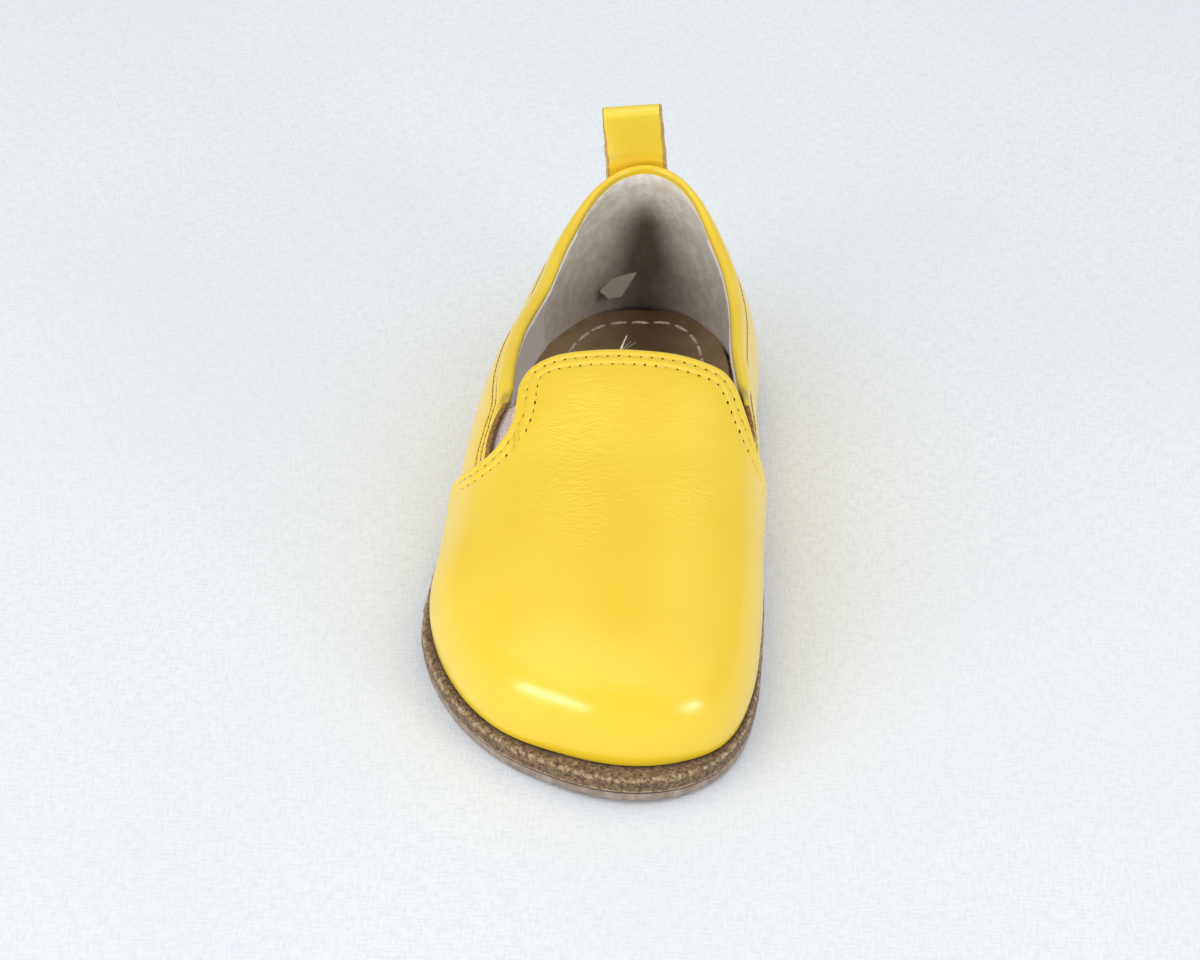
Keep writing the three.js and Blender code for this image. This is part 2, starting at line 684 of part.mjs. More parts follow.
function makeLayer(profile, ledge = () => 0) {
  const layer = { points: [], triangles: [] };
  const addGrid = (columns, rows, place) => {
    const grid = gridSheet(columns, rows, place);
    const start = layer.points.length;
    layer.points.push(...grid.points);
    layer.triangles.push(...grid.triangles.map((triangle) => triangle.map((i) => i + start)));
  };
  const raise = ({ x, y }, z) => new THREE.Vector3(x, y, z + soleLift(x, y));
  const edge = (angle, { inset, z }) => raise(insetEdge(angle, inset + ledge(angle)), z);
  const last = profile.length - 1;
  const angleOf = (station) => (180 * station) / SOLE_STATIONS;
  const face = (station, strip, row) => {
    const outer = edge(-angleOf(station), profile[row]);
    const inner = edge(angleOf(station), profile[row]);
    return raise(outer.lerp(inner, strip / SOLE_STRIPS), profile[row].z);
  };
  addGrid(SOLE_STRIPS, SOLE_STATIONS, (strip, station) => face(station, SOLE_STRIPS - strip, last));
  addGrid(SOLE_STRIPS, SOLE_STATIONS, (strip, station) => face(station, strip, 0));
  addGrid(SOLE_STATIONS, last, (station, row) => edge(-angleOf(station), profile[row]));
  addGrid(SOLE_STATIONS, last, (station, row) => edge(angleOf(SOLE_STATIONS - station), profile[row]));
  return layer;
}

const OUTSOLE_PROFILE = [
  { inset: OUTSOLE_INSET + OUTSOLE_BEVEL, z: 0 },
  { inset: OUTSOLE_INSET, z: OUTSOLE_BEVEL },
  { inset: OUTSOLE_INSET, z: OUTSOLE_THICKNESS },
];

const MIDSOLE_PROFILE = MIDSOLE_RIM.map(({ inset, rise }) => ({ inset, z: MIDSOLE_BASE + rise }));

const INSOLE_PROFILE = [
  { inset: 0, z: UPPER_BASE },
  { inset: 0, z: UPPER_BASE + INSOLE_THICKNESS - INSOLE_BEVEL_DEPTH },
  { inset: INSOLE_BEVEL_WIDTH, z: UPPER_BASE + INSOLE_THICKNESS },
];

// Pull tab: a strip folded over, both ends lying against the back of the heel

const COLLAR_TOP = COLLAR[COLLAR.length - 1].outerZ;
const TAB_FLAT_FROM_Z = 44;

// y of the heel's outside at an x and a height.
function heelY(x, z) {
  const sign = x < HEEL_AXIS_X ? -1 : 1;
  return lastWhere(HEEL_RIDGE_Y, heelBackY(z), (y) => sign * (wallX(y, z, sign) - x) > 0);
}

// The strip's middle line: distance behind the heel and height.
function tabPath() {
  const legGap = (z) => lerp(TAB_FOOT_GAP, TAB_FOLD_GAP, smoothStep(TAB_BOTTOM, COLLAR_TOP, z));
  const foldRadius = (TAB_THICKNESS + TAB_FOLD_GAP) / 2;
  const foldZ = TAB_TOP - TAB_THICKNESS / 2 - foldRadius;
  const legZ = (row) => lerp(TAB_BOTTOM, foldZ, row / TAB_LEG_ROWS);
  const path = [];
  for (let row = 0; row < TAB_LEG_ROWS; row += 1) {
    path.push({ back: TAB_THICKNESS + legGap(legZ(row)), z: legZ(row) });
  }
  for (let row = 0; row <= TAB_FOLD_ROWS; row += 1) {
    const turn = (Math.PI * row) / TAB_FOLD_ROWS;
    path.push({ back: foldRadius * (1 + Math.cos(turn)), z: foldZ + foldRadius * Math.sin(turn) });
  }
  for (let row = TAB_LEG_ROWS - 1; row >= 0; row -= 1) {
    path.push({ back: 0, z: legZ(row) });
  }
  return path;
}

function makePullTab() {
  const path = tabPath();
  const clearance = TAB_CLEARANCE + TAB_THICKNESS / 2;
  const sheet = gridSheet(TAB_STRIPS, path.length - 1, (strip, row) => {
    const { back, z } = path[row];
    const spread = TAB_WIDTH * (0.5 - strip / TAB_STRIPS);
    const x = TAB_CENTRE_X + spread;
    const free = smoothStep(TAB_FLAT_FROM_Z, TAB_TOP, z);
    const bent = heelY(x, Math.min(z, TAB_FLAT_FROM_Z));
    const flat = heelY(TAB_CENTRE_X, TAB_FLAT_FROM_Z);
    return new THREE.Vector3(
      x - TAB_LEAN * Math.max(0, z - TAB_FLAT_FROM_Z),
      lerp(bent, flat, free) + clearance + back,
      z + TAB_TILT * spread * free,
    );
  });
  return thicken(
    sheet,
    () => TAB_THICKNESS / 2,
    () => -TAB_THICKNESS / 2,
  );
}

// Assembly

const group = new THREE.Group();

group.add(makeMesh('upper', toManifold(makeVamp()).add(toManifold(makeQuarters())), LEATHER_YELLOW));
for (const gore of GORES) {
  group.add(makeMesh(gore.name, toManifold(makeGore(gore)), ELASTIC_GREY));
}
group.add(makeMesh('pull_tab', toManifold(makePullTab()), LEATHER_YELLOW));
group.add(makeMesh('insole', toManifold(makeLayer(INSOLE_PROFILE, insoleLedge)), INSOLE_LEATHER));
group.add(makeMesh('midsole', toManifold(makeLayer(MIDSOLE_PROFILE)), SOLE_LEATHER));
group.add(makeMesh('outsole', toManifold(makeLayer(OUTSOLE_PROFILE)), SOLE_RUBBER));

// The origin is the middle of the underside.
const bounds = new THREE.Box3().setFromObject(group);
const centre = bounds.getCenter(new THREE.Vector3());
group.position.set(-centre.x, -centre.y, -bounds.min.z);

export default group;
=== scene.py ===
"""A child's leather slip-on shoe, right foot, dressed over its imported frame.

The last is the solids' own: cross-sections from heel to toe, in millimetres, with +Z up, the toe
along -Y and the medial side at +X. Each piece is worked out on it as whole arrays of points, and is
moved into the frame, in metres, when its mesh is made.
"""

from __future__ import annotations

import logging
from dataclasses import dataclass
from enum import Enum
from functools import cached_property
from typing import Callable

import bpy
import numpy as np
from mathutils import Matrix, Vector


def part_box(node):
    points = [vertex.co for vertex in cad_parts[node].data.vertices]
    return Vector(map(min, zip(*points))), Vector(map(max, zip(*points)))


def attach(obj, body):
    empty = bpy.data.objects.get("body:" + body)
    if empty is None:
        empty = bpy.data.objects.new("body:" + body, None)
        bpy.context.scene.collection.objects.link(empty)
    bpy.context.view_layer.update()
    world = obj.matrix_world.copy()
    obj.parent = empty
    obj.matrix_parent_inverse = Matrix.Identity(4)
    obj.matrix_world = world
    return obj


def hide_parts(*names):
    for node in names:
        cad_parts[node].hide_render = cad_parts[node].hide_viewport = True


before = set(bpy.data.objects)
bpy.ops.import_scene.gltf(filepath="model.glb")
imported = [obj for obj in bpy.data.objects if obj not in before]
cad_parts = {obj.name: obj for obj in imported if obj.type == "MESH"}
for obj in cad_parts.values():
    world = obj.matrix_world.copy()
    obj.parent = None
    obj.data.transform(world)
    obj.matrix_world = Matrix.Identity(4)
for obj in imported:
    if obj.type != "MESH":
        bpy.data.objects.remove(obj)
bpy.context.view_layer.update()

Array = np.ndarray
Socket = bpy.types.NodeSocket
MM = 0.001
BODY = "root"

log = logging.getLogger("shoe")


# Numbers and curves


def smooth_step(low: float, high: float, value: Array) -> Array:
    """Smooth rise from 0 at low to 1 at high."""
    t = np.clip((value - low) / (high - low), 0.0, 1.0)
    return t * t * (3.0 - 2.0 * t)


def lerp(start: Array, end: Array, share: Array) -> Array:
    """Value at a share of the way from start to end."""
    return start + (end - start) * share


def bell(value: Array, centre: float, width: float) -> Array:
    """Bell curve of height 1 round a centre."""
    return np.exp(-(((value - centre) / width) ** 2))


@dataclass(frozen=True)
class Ridge:
    """A bell-shaped rise: its height, where it stands and its width."""

    height: float
    centre: float
    width: float

    def at(self, value: Array) -> Array:
        """Rise at a value."""
        return self.height * bell(value, self.centre, self.width)


def unit(vectors: Array) -> Array:
    """Vectors scaled to length 1."""
    return vectors / np.maximum(1e-12, np.linalg.norm(vectors, axis=-1, keepdims=True))


def last_where(low: Array, high: Array, test: Callable[[Array], Array]) -> Array:
    """Largest inputs for which a test that starts true still holds.

    Args:
        low: inputs at which the test holds.
        high: upper ends of the search.
        test: gives a truth value for each input.

    Returns:
        The inputs, found by halving.
    """
    start, end = np.broadcast_arrays(np.asarray(low, float), np.asarray(high, float))
    start, end = start.copy(), end.copy()
    for _ in range(40):
        middle = (start + end) / 2.0
        holds = test(middle)
        start = np.where(holds, middle, start)
        end = np.where(holds, end, middle)
    return (start + end) / 2.0


def lattice_noise(points: Array, grain: float, seed: int = 0) -> Array:
    """Smooth noise between -1 and 1: hashed values at the corners of cubes, eased between them.

    Args:
        points: places, one row each.
        grain: edge of a cube, in the points' unit.
        seed: picks another pattern.

    Returns:
        One value for each point.
    """
    scaled = points / grain
    base = np.floor(scaled).astype(np.int64)
    part = scaled - base
    ease = part * part * (3.0 - 2.0 * part)
    total = np.zeros(len(points))
    for corner in np.ndindex(2, 2, 2):
        cell = base + corner
        code = cell[:, 0] * 73856093 ^ cell[:, 1] * 19349663 ^ cell[:, 2] * 83492791 ^ (seed * 2654435 + 97)
        code = (code ^ (code >> 13)) * 1274126177 & 0x7FFFFFFF
        value = ((code ^ (code >> 16)) & 0xFFFF) / 32767.5 - 1.0
        weight = np.prod(np.where(np.array(corner) == 1, ease, 1.0 - ease), axis=1)
        total += weight * value
    return total


def rough_noise(points: Array, grain: float, octaves: int, seed: int = 0) -> Array:
    """Noise with finer layers, each half as coarse and half as strong as the one before."""
    layers = range(octaves)
    return sum(lattice_noise(points, grain / 2**k, seed + k) / 2**k for k in layers)


def interpolated(run: Array, known: Array, rows: Array) -> Array:
    """Rows at runs, each between the two rows whose known runs are nearest."""
    return np.stack([np.interp(run, known, column) for column in rows.T], axis=-1)


class Path:
    """Points along a line, with the length run so far at each."""

    def __init__(self, points: Array) -> None:
        """Takes the points in order."""
        self.points = points
        steps = np.linalg.norm(np.diff(points, axis=0), axis=1)
        self.run = np.concatenate([[0.0], np.cumsum(steps)])
        self.length = float(self.run[-1])

    def at(self, run: Array) -> Array:
        """Points at distances along the line."""
        return interpolated(run, self.run, self.points)

    def evenly(self, spacing: float) -> Path:
        """The same line with even steps of about a spacing."""
        count = max(2, int(round(self.length / spacing)) + 1)
        return Path(self.at(np.linspace(0.0, self.length, count)))

    def tangents(self) -> Array:
        """Directions along the line at its points."""
        return unit(np.gradient(self.points, axis=0))

    def distance(self, places: Array, spacing: float) -> Array:
        """Distance of each place from the line, read at steps of about a spacing."""
        best = np.full(len(places), np.inf)
        for point in self.evenly(spacing).points:
            best = np.minimum(best, np.linalg.norm(places - point, axis=1))
        return best


def smooth_path(corners: Array, steps: int = 40) -> Path:
    """Centripetal Catmull-Rom curve through a few points.

    Args:
        corners: the points that the curve passes through.
        steps: points for each span.

    Returns:
        The curve as a path.
    """
    padded = np.vstack([2 * corners[0] - corners[1], corners, 2 * corners[-1] - corners[-2]])
    t = np.linspace(0.0, 1.0, steps, endpoint=False)[:, None]
    spans = []
    for before, start, end, after in zip(padded[:-3], padded[1:-2], padded[2:-1], padded[3:]):
        gaps = [np.sqrt(np.linalg.norm(b - a)) for a, b in ((before, start), (start, end), (end, after))]
        leave = (start - before) / gaps[0] - (end - before) / (gaps[0] + gaps[1]) + (end - start) / gaps[1]
        arrive = (end - start) / gaps[1] - (after - start) / (gaps[1] + gaps[2]) + (after - end) / gaps[2]
        leave = leave * gaps[1]
        arrive = arrive * gaps[1]
        square = 3 * (end - start) - 2 * leave - arrive
        cube = 2 * (start - end) + leave + arrive
        spans.append(start + t * (leave + t * (square + t * cube)))
    return Path(np.vstack([*spans, corners[-1:]]))


# The last


class Side(Enum):
    """The two sides of the foot, each with the sign of its x."""

    OUTER = -1
    INNER = 1


def turned(angle: Array) -> Array:
    """Angles between -180 and 180 degrees."""
    return (np.asarray(angle, float) + 180.0) % 360.0 - 180.0


class StationTable:
    """Columns of values at even angles from the heel tip (0) to the toe tip (180 degrees)."""

    def __init__(self, mirrored: bool = False, **columns: tuple[float, ...]) -> None:
        """Takes the columns, and whether values change sign past a tip."""
        self.columns = {name: np.array(values, float) for name, values in columns.items()}
        self.mirror = -1.0 if mirrored else 1.0

    def value(self, name: str, angle: Array) -> Array:
        """Smooth value of a column at station angles (a Catmull-Rom curve through its rows)."""
        values = self.columns[name]
        last = len(values) - 1
        padded = np.concatenate([[self.mirror * values[1]], values, [self.mirror * values[-2]]])
        place = np.minimum(np.abs(angle) * last / 180.0, last - 1e-9)
        row = np.floor(place).astype(int)
        t = place - row
        before, start, end, after = (padded[row + k] for k in range(4))
        square = 2 * before - 5 * start + 4 * end - after
        cube = 3 * start - before - 3 * end + after
        return 0.5 * (2 * start + t * (end - before + t * (square + t * cube)))

    def side_value(self, suffix: str, angle: Array, sign: Array) -> Array:
        """Value of the outer or the inner column, by sign."""
        outer = self.value(f"outer{suffix}", angle)
        inner = self.value(f"inner{suffix}", angle)
        return np.where(np.asarray(sign) < 0, outer, inner)


HALF_WIDTHS = StationTable(
    mirrored=True,
    outer=(0, 0.156, 0.286, 0.39, 0.447, 0.509, 0.565, 0.613, 0.622, 0.532, 0.382, 0.183, 0),
    inner=(0, 0.153, 0.265, 0.347, 0.371, 0.361, 0.377, 0.386, 0.379, 0.355, 0.288, 0.164, 0),
)

LEDGES = StationTable(
    outer=(1.4, 1.4, 1.4, 1.3, 1.2, 1.4, 2.4, 4, 3.9, 3.4, 3.4, 4.9, 5.4),
    inner=(1.4, 1.4, 1.2, 0.9, 0.6, 0.8, 1.1, 2.2, 2.3, 2.6, 3.1, 4.9, 5.4),
    outer_insole=(6.8, 5.9, 3.9, 4.2, 4.8, 4.2, 5, 6.6, 6.5, 6, 6, 7.5, 8),
    inner_insole=(6.8, 5.2, 3.7, 5.4, 6.2, 4.8, 4.1, 4.8, 4.9, 5.2, 5.7, 7.5, 8),
)

SECTIONS = StationTable(
    crest=(0.333, 0.917, 1.235, 1.12, 1, 0.98, 1, 0.867, 0.754, 0.658, 0.567, 0.433, 0.233),
    ridge_x=(4.5, 4.7, 5.2, 5.9, 6.6, 7, 7, 7, 7, 7.6, 9, 10.8, 11.5),
    outer_fullness=(2, 1.8, 1.6, 1.77, 2.15, 2.53, 2.2, 1.95, 1.95, 2.1, 2.3, 2.3, 2.3),
    inner_fullness=(2, 1.8, 1.6, 1.79, 2.42, 3, 3.2, 3.2, 2.9, 2.6, 2.4, 2.3, 2.3),
)


@dataclass(frozen=True)
class LastSizes:
    """Driving sizes of the last and of the sole under it, in millimetres."""

    sole_length: float = 176.0
    heel_y: float = 86.0
    heel_axis_x: float = 4.5
    toe_axis_x: float = 11.5
    ball_width: float = 73.3
    instep_height: float = 48.0
    outsole: float = 1.9
    midsole: float = 4.0
    insole: float = 2.0
    layer_gap: float = 0.3
    toe_spring: float = 1.2
    toe_spring_start_y: float = -58.0
    arch_rise: float = 0.8
    arch_centre_y: float = 12.0
    arch_half_length: float = 38.0
    arch_outer_x: float = -30.0
    arch_inner_x: float = 25.0
    foot_tuck: float = 0.6
    heel_waist_rise: float = 9.5
    toe_waist_rise: float = 3.0
    heel_ridge_y: float = 60.0


class Last:
    """The foot form: an outline, and sections with a side of their own fullness each."""

    def __init__(self, sizes: LastSizes) -> None:
        """Takes the sizes and works out the ends of the upper's widest line."""
        self.sizes = sizes
        self.midsole_base = sizes.outsole + sizes.layer_gap
        self.upper_base = self.midsole_base + sizes.midsole + sizes.layer_gap
        self.heel_tip = float(self.widest(np.array(0.0))[1])
        self.toe_tip = float(self.widest(np.array(180.0))[1])

    def sole_edge(self, angle: Array) -> Array:
        """Outline of the sole in plan: angle 0 at the heel tip, 180 at the toe tip, outer side negative."""
        turn = turned(angle)
        along = (1.0 - np.cos(np.radians(turn))) / 2.0
        sign = np.where(turn < 0, -1.0, 1.0)
        half = self.sizes.ball_width * HALF_WIDTHS.side_value("", turn, sign)
        x = lerp(self.sizes.heel_axis_x, self.sizes.toe_axis_x, along) + sign * half
        return np.stack([x, self.sizes.heel_y - self.sizes.sole_length * along], axis=-1)

    def inset_edge(self, angle: Array, inset: Array) -> Array:
        """The outline moved in along its own normal."""
        tangent = unit(self.sole_edge(angle + 0.5) - self.sole_edge(angle - 0.5))
        inward = np.stack([tangent[..., 1], -tangent[..., 0]], axis=-1)
        return self.sole_edge(angle) + inward * np.asarray(inset)[..., None]

    def ledge(self, angle: Array) -> Array:
        """How far the upper's foot stands in from the sole's edge."""
        return LEDGES.side_value("", turned(angle), turned(angle))

    def insole_ledge(self, angle: Array) -> Array:
        """How far the insole's edge stands in from the sole's edge."""
        return LEDGES.side_value("_insole", turned(angle), turned(angle))

    def foot(self, angle: Array) -> Array:
        """Foot of the upper in plan."""
        return self.inset_edge(angle, self.ledge(angle))

    def widest(self, angle: Array) -> Array:
        """Widest line of the upper in plan."""
        return self.inset_edge(angle, self.ledge(angle) - self.sizes.foot_tuck)

    def angle_at(self, y: Array, sign: Array) -> Array:
        """Angle at which the widest line passes a y on one side."""
        sign = np.asarray(sign, float)
        start = np.zeros_like(y * sign)
        return sign * last_where(start, 180.0, lambda angle: self.widest(sign * angle)[..., 1] > y)

    def lift(self, x: Array, y: Array) -> Array:
        """Rise of the sole by toe spring and arch."""
        s = self.sizes
        toe = np.clip((s.toe_spring_start_y - y) / (s.toe_spring_start_y - (s.heel_y - s.sole_length)), 0, 1)
        arch = np.cos(np.pi / 2 * np.minimum(1, np.abs(y - s.arch_centre_y) / s.arch_half_length))
        return s.toe_spring * toe**2 + s.arch_rise * arch**2 * smooth_step(s.arch_outer_x, s.arch_inner_x, x)

    def share_along(self, y: Array) -> Array:
        """Share of the upper's length from the heel tip."""
        return np.clip((self.heel_tip - y) / (self.heel_tip - self.toe_tip), 0.0, 1.0)

    def station(self, y: Array) -> Array:
        """Station angle at a y."""
        return np.degrees(np.arccos(1.0 - 2.0 * self.share_along(y)))

    def ridge_x(self, y: Array) -> Array:
        """Where the ridge runs."""
        return SECTIONS.value("ridge_x", self.station(y))

    def ridge_z(self, y: Array) -> Array:
        """Height of the ridge."""
        return self.sizes.instep_height * SECTIONS.value("crest", self.station(y))

    def fullness(self, y: Array, sign: Array) -> Array:
        """Exponent of a section's side, 2 for an ellipse."""
        return SECTIONS.side_value("_fullness", self.station(y), sign)

    def waist_z(self, y: Array) -> Array:
        """Height of the widest line."""
        rise = lerp(self.sizes.heel_waist_rise, self.sizes.toe_waist_rise, self.share_along(y))
        return self.upper_base + self.lift(self.sizes.arch_outer_x, y) + rise

    def widest_x(self, y: Array, sign: Array) -> Array:
        """x of the widest line at a y."""
        return self.widest(self.angle_at(y, sign))[..., 0]

    def point(self, across: Array, y: Array) -> Array:
        """Point of the surface at a share of the half width, negative on the outer side."""
        share = np.clip(np.abs(across), 0.0, 1.0)
        sign = np.where(across < 0, -1.0, 1.0)
        power = self.fullness(y, sign)
        rise = (1.0 - share**power) ** (1.0 / power)
        x = lerp(self.ridge_x(y), self.widest_x(y, sign), share)
        waist = self.waist_z(y)
        return np.stack([x, y, waist + (self.ridge_z(y) - waist) * rise], axis=-1)

    def wall_x(self, y: Array, z: Array, sign: Array) -> Array:
        """x of the wall at a height above the widest line."""
        waist = self.waist_z(y)
        rise = np.clip((z - waist) / np.maximum(1e-6, self.ridge_z(y) - waist), 0.0, 1.0)
        power = self.fullness(y, sign)
        share = (1.0 - rise**power) ** (1.0 / power)
        return lerp(self.ridge_x(y), self.widest_x(y, sign), share)

    def heel_back(self, z: Array) -> Array:
        """y of the heel's back at a height."""
        start = np.full_like(np.asarray(z, float), self.sizes.heel_ridge_y)
        return last_where(start, self.heel_tip, lambda y: self.ridge_z(y) > z)

    def heel_outside(self, x: Array, z: Array) -> Array:
        """y of the heel's outside at an x and a height."""
        sign = np.where(x < self.sizes.heel_axis_x, -1.0, 1.0)
        start = np.full_like(x + z, self.sizes.heel_ridge_y)
        return last_where(start, self.heel_back(z), lambda y: sign * (self.wall_x(y, z, sign) - x) > 0)

    def tuck(self, angle: Array, drop: Array) -> Array:
        """Wall from the widest line (drop 0), tucking in, down to the foot (drop 1)."""
        widest = self.widest(angle)
        foot = self.foot(angle)
        plan = lerp(widest, foot, (np.asarray(drop) ** 2)[..., None])
        foot_z = self.upper_base + self.lift(foot[..., 0], foot[..., 1])
        z = lerp(self.waist_z(widest[..., 1]), foot_z, drop)
        return np.concatenate([plan, z[..., None]], axis=-1)


# Sheets: points with triangles, given thickness along their own normals


def grid_triangles(columns: int, rows: int, start: int = 0) -> Array:
    """Triangles of a grid of points stored column by column."""
    column, row = np.meshgrid(np.arange(columns), np.arange(rows), indexing="ij")
    a = (start + column * (rows + 1) + row).ravel()
    b = a + rows + 1
    return np.concatenate([np.stack([a, b, b + 1], 1), np.stack([a, b + 1, a + 1], 1)])


def open_edges(triangles: Array) -> Array:
    """Edges that belong to one triangle only, in that triangle's direction."""
    edges = np.concatenate([triangles[:, [0, 1]], triangles[:, [1, 2]], triangles[:, [2, 0]]])
    size = int(triangles.max()) + 1
    paired = np.isin(edges[:, 0] * size + edges[:, 1], edges[:, 1] * size + edges[:, 0])
    return edges[~paired]


@dataclass
class Sheet:
    """Points, triangles, and named values that each point carries."""

    points: Array
    triangles: Array
    values: dict[str, Array]

    def normals(self, level_foot: bool = False) -> Array:
        """Unit normals at the points, summed from the triangles; a levelled foot's are horizontal."""
        corners = self.points[self.triangles]
        faces = np.cross(corners[:, 1] - corners[:, 0], corners[:, 2] - corners[:, 0])
        total = np.zeros_like(self.points)
        for k in range(3):
            np.add.at(total, self.triangles[:, k], faces)
        if level_foot:
            total[self.values["foot"] > 0.5, 2] = 0.0
        return unit(total)

    def thickened(self, outside: Array, inside: Array, level_foot: bool = False) -> Sheet:
        """Closed wall between two copies of the sheet, moved along its normals.

        Args:
            outside: how far the outer copy's points move.
            inside: how far the inner copy's points move.
            level_foot: whether the points with a "foot" of 1 move horizontally.

        Returns:
            The wall, with a value "inner" of 1 on its inner copy.
        """
        normals = self.normals(level_foot)
        count = len(self.points)
        outer = self.points + normals * np.broadcast_to(outside, count)[:, None]
        inner = self.points + normals * np.broadcast_to(inside, count)[:, None]
        edges = open_edges(self.triangles)
        start, end = edges[:, 0], edges[:, 1]
        border = [np.stack([end, start, start + count], 1), np.stack([end, start + count, end + count], 1)]
        back = self.triangles[:, [0, 2, 1]] + count
        values = {name: np.concatenate([value, value]) for name, value in self.values.items()}
        values["inner"] = np.repeat([0.0, 1.0], count)
        return Sheet(np.vstack([outer, inner]), np.vstack([self.triangles, back, *border]), values)

    def welded(self) -> Sheet:
        """The sheet with equal points joined, and without the triangles that this closes up."""
        keys = np.round(self.points * 1e4).astype(np.int64)
        _, first, index = np.unique(keys, axis=0, return_index=True, return_inverse=True)
        triangles = index.ravel()[self.triangles]
        a, b, c = triangles.T
        whole = (a != b) & (b != c) & (c != a)
        values = {name: value[first] for name, value in self.values.items()}
        return Sheet(self.points[first], triangles[whole], values)


def grid_sheet(points: Array, **values: Array) -> Sheet:
    """Sheet of a grid of points, indexed by column and row; columns turn to the left of rows from outside."""
    columns, rows = points.shape[0] - 1, points.shape[1] - 1
    flat = {name: np.broadcast_to(value, points.shape[:2]).ravel() for name, value in values.items()}
    return Sheet(points.reshape(-1, 3), grid_triangles(columns, rows), flat)


def joined(sheets: list[Sheet]) -> Sheet:
    """Several sheets as one; a value that a sheet lacks is 0 there."""
    names = {name for sheet in sheets for name in sheet.values}
    starts = np.cumsum([0] + [len(sheet.points) for sheet in sheets[:-1]])
    triangles = [sheet.triangles + start for sheet, start in zip(sheets, starts)]
    values = {
        name: np.concatenate([sheet.values.get(name, np.zeros(len(sheet.points))) for sheet in sheets])
        for name in names
    }
    return Sheet(np.vstack([sheet.points for sheet in sheets]), np.vstack(triangles), values)


# Pieces in the frame


class Slot(Enum):
    """The record's material slots."""

    UPPER = "upper_leather"
    ELASTIC = "elastic"
    INSOLE = "insole_leather"
    SOLE = "sole_leather"
    RUBBER = "sole_rubber"


class Workshop:
    """Turns sheets into pieces that ride on the frame."""

    def __init__(self, last: Last) -> None:
        """Takes the last, and finds how far the frame stands from its coordinates."""
        edge = last.sole_edge(np.linspace(-180.0, 180.0, 721))
        low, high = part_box("midsole")
        middle = (np.array(low) + np.array(high))[:2] / 2.0 / MM
        self.offset = np.array([*(middle - (edge.min(0) + edge.max(0)) / 2.0), 0.0])
        self.count = 0

    def place(self, points: Array) -> Array:
        """Points of the last's coordinates in the frame, in metres."""
        return (points + self.offset) * MM

    def piece(
        self,
        name: str,
        sheet: Sheet,
        material: bpy.types.Material,
        slot: Slot,
        replaced: tuple[str, ...] = (),
    ) -> bpy.types.Object:
        """Makes a piece and fastens it to the frame.

        Args:
            name: the piece's name.
            sheet: its closed mesh.
            material: its finish.
            slot: the record's slot; not used.
            replaced: the nodes that it stands for.

        Returns:
            The object.
        """
        mesh = bpy.data.meshes.new(name)
        count = len(sheet.triangles)
        mesh.vertices.add(len(sheet.points))
        mesh.vertices.foreach_set("co", self.place(sheet.points).astype(np.float32).ravel())
        mesh.loops.add(3 * count)
        mesh.loops.foreach_set("vertex_index", sheet.triangles.astype(np.int32).ravel())
        mesh.polygons.add(count)
        mesh.polygons.foreach_set("loop_start", np.arange(0, 3 * count, 3, dtype=np.int32))
        mesh.polygons.foreach_set("use_smooth", np.ones(count, bool))
        for key, value in sheet.values.items():
            layer = mesh.attributes.new(key, "FLOAT", "POINT")
            layer.data.foreach_set("value", value.astype(np.float32))
        mesh.update(calc_edges=True)
        mesh.validate()
        mesh.materials.append(material)
        obj = bpy.data.objects.new(name, mesh)
        bpy.context.scene.collection.objects.link(obj)
        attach(obj, BODY)
        if replaced:
            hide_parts(*replaced)
        self.count += count
        log.info("%s: %d triangles", name, count)
        return obj


# Finishes


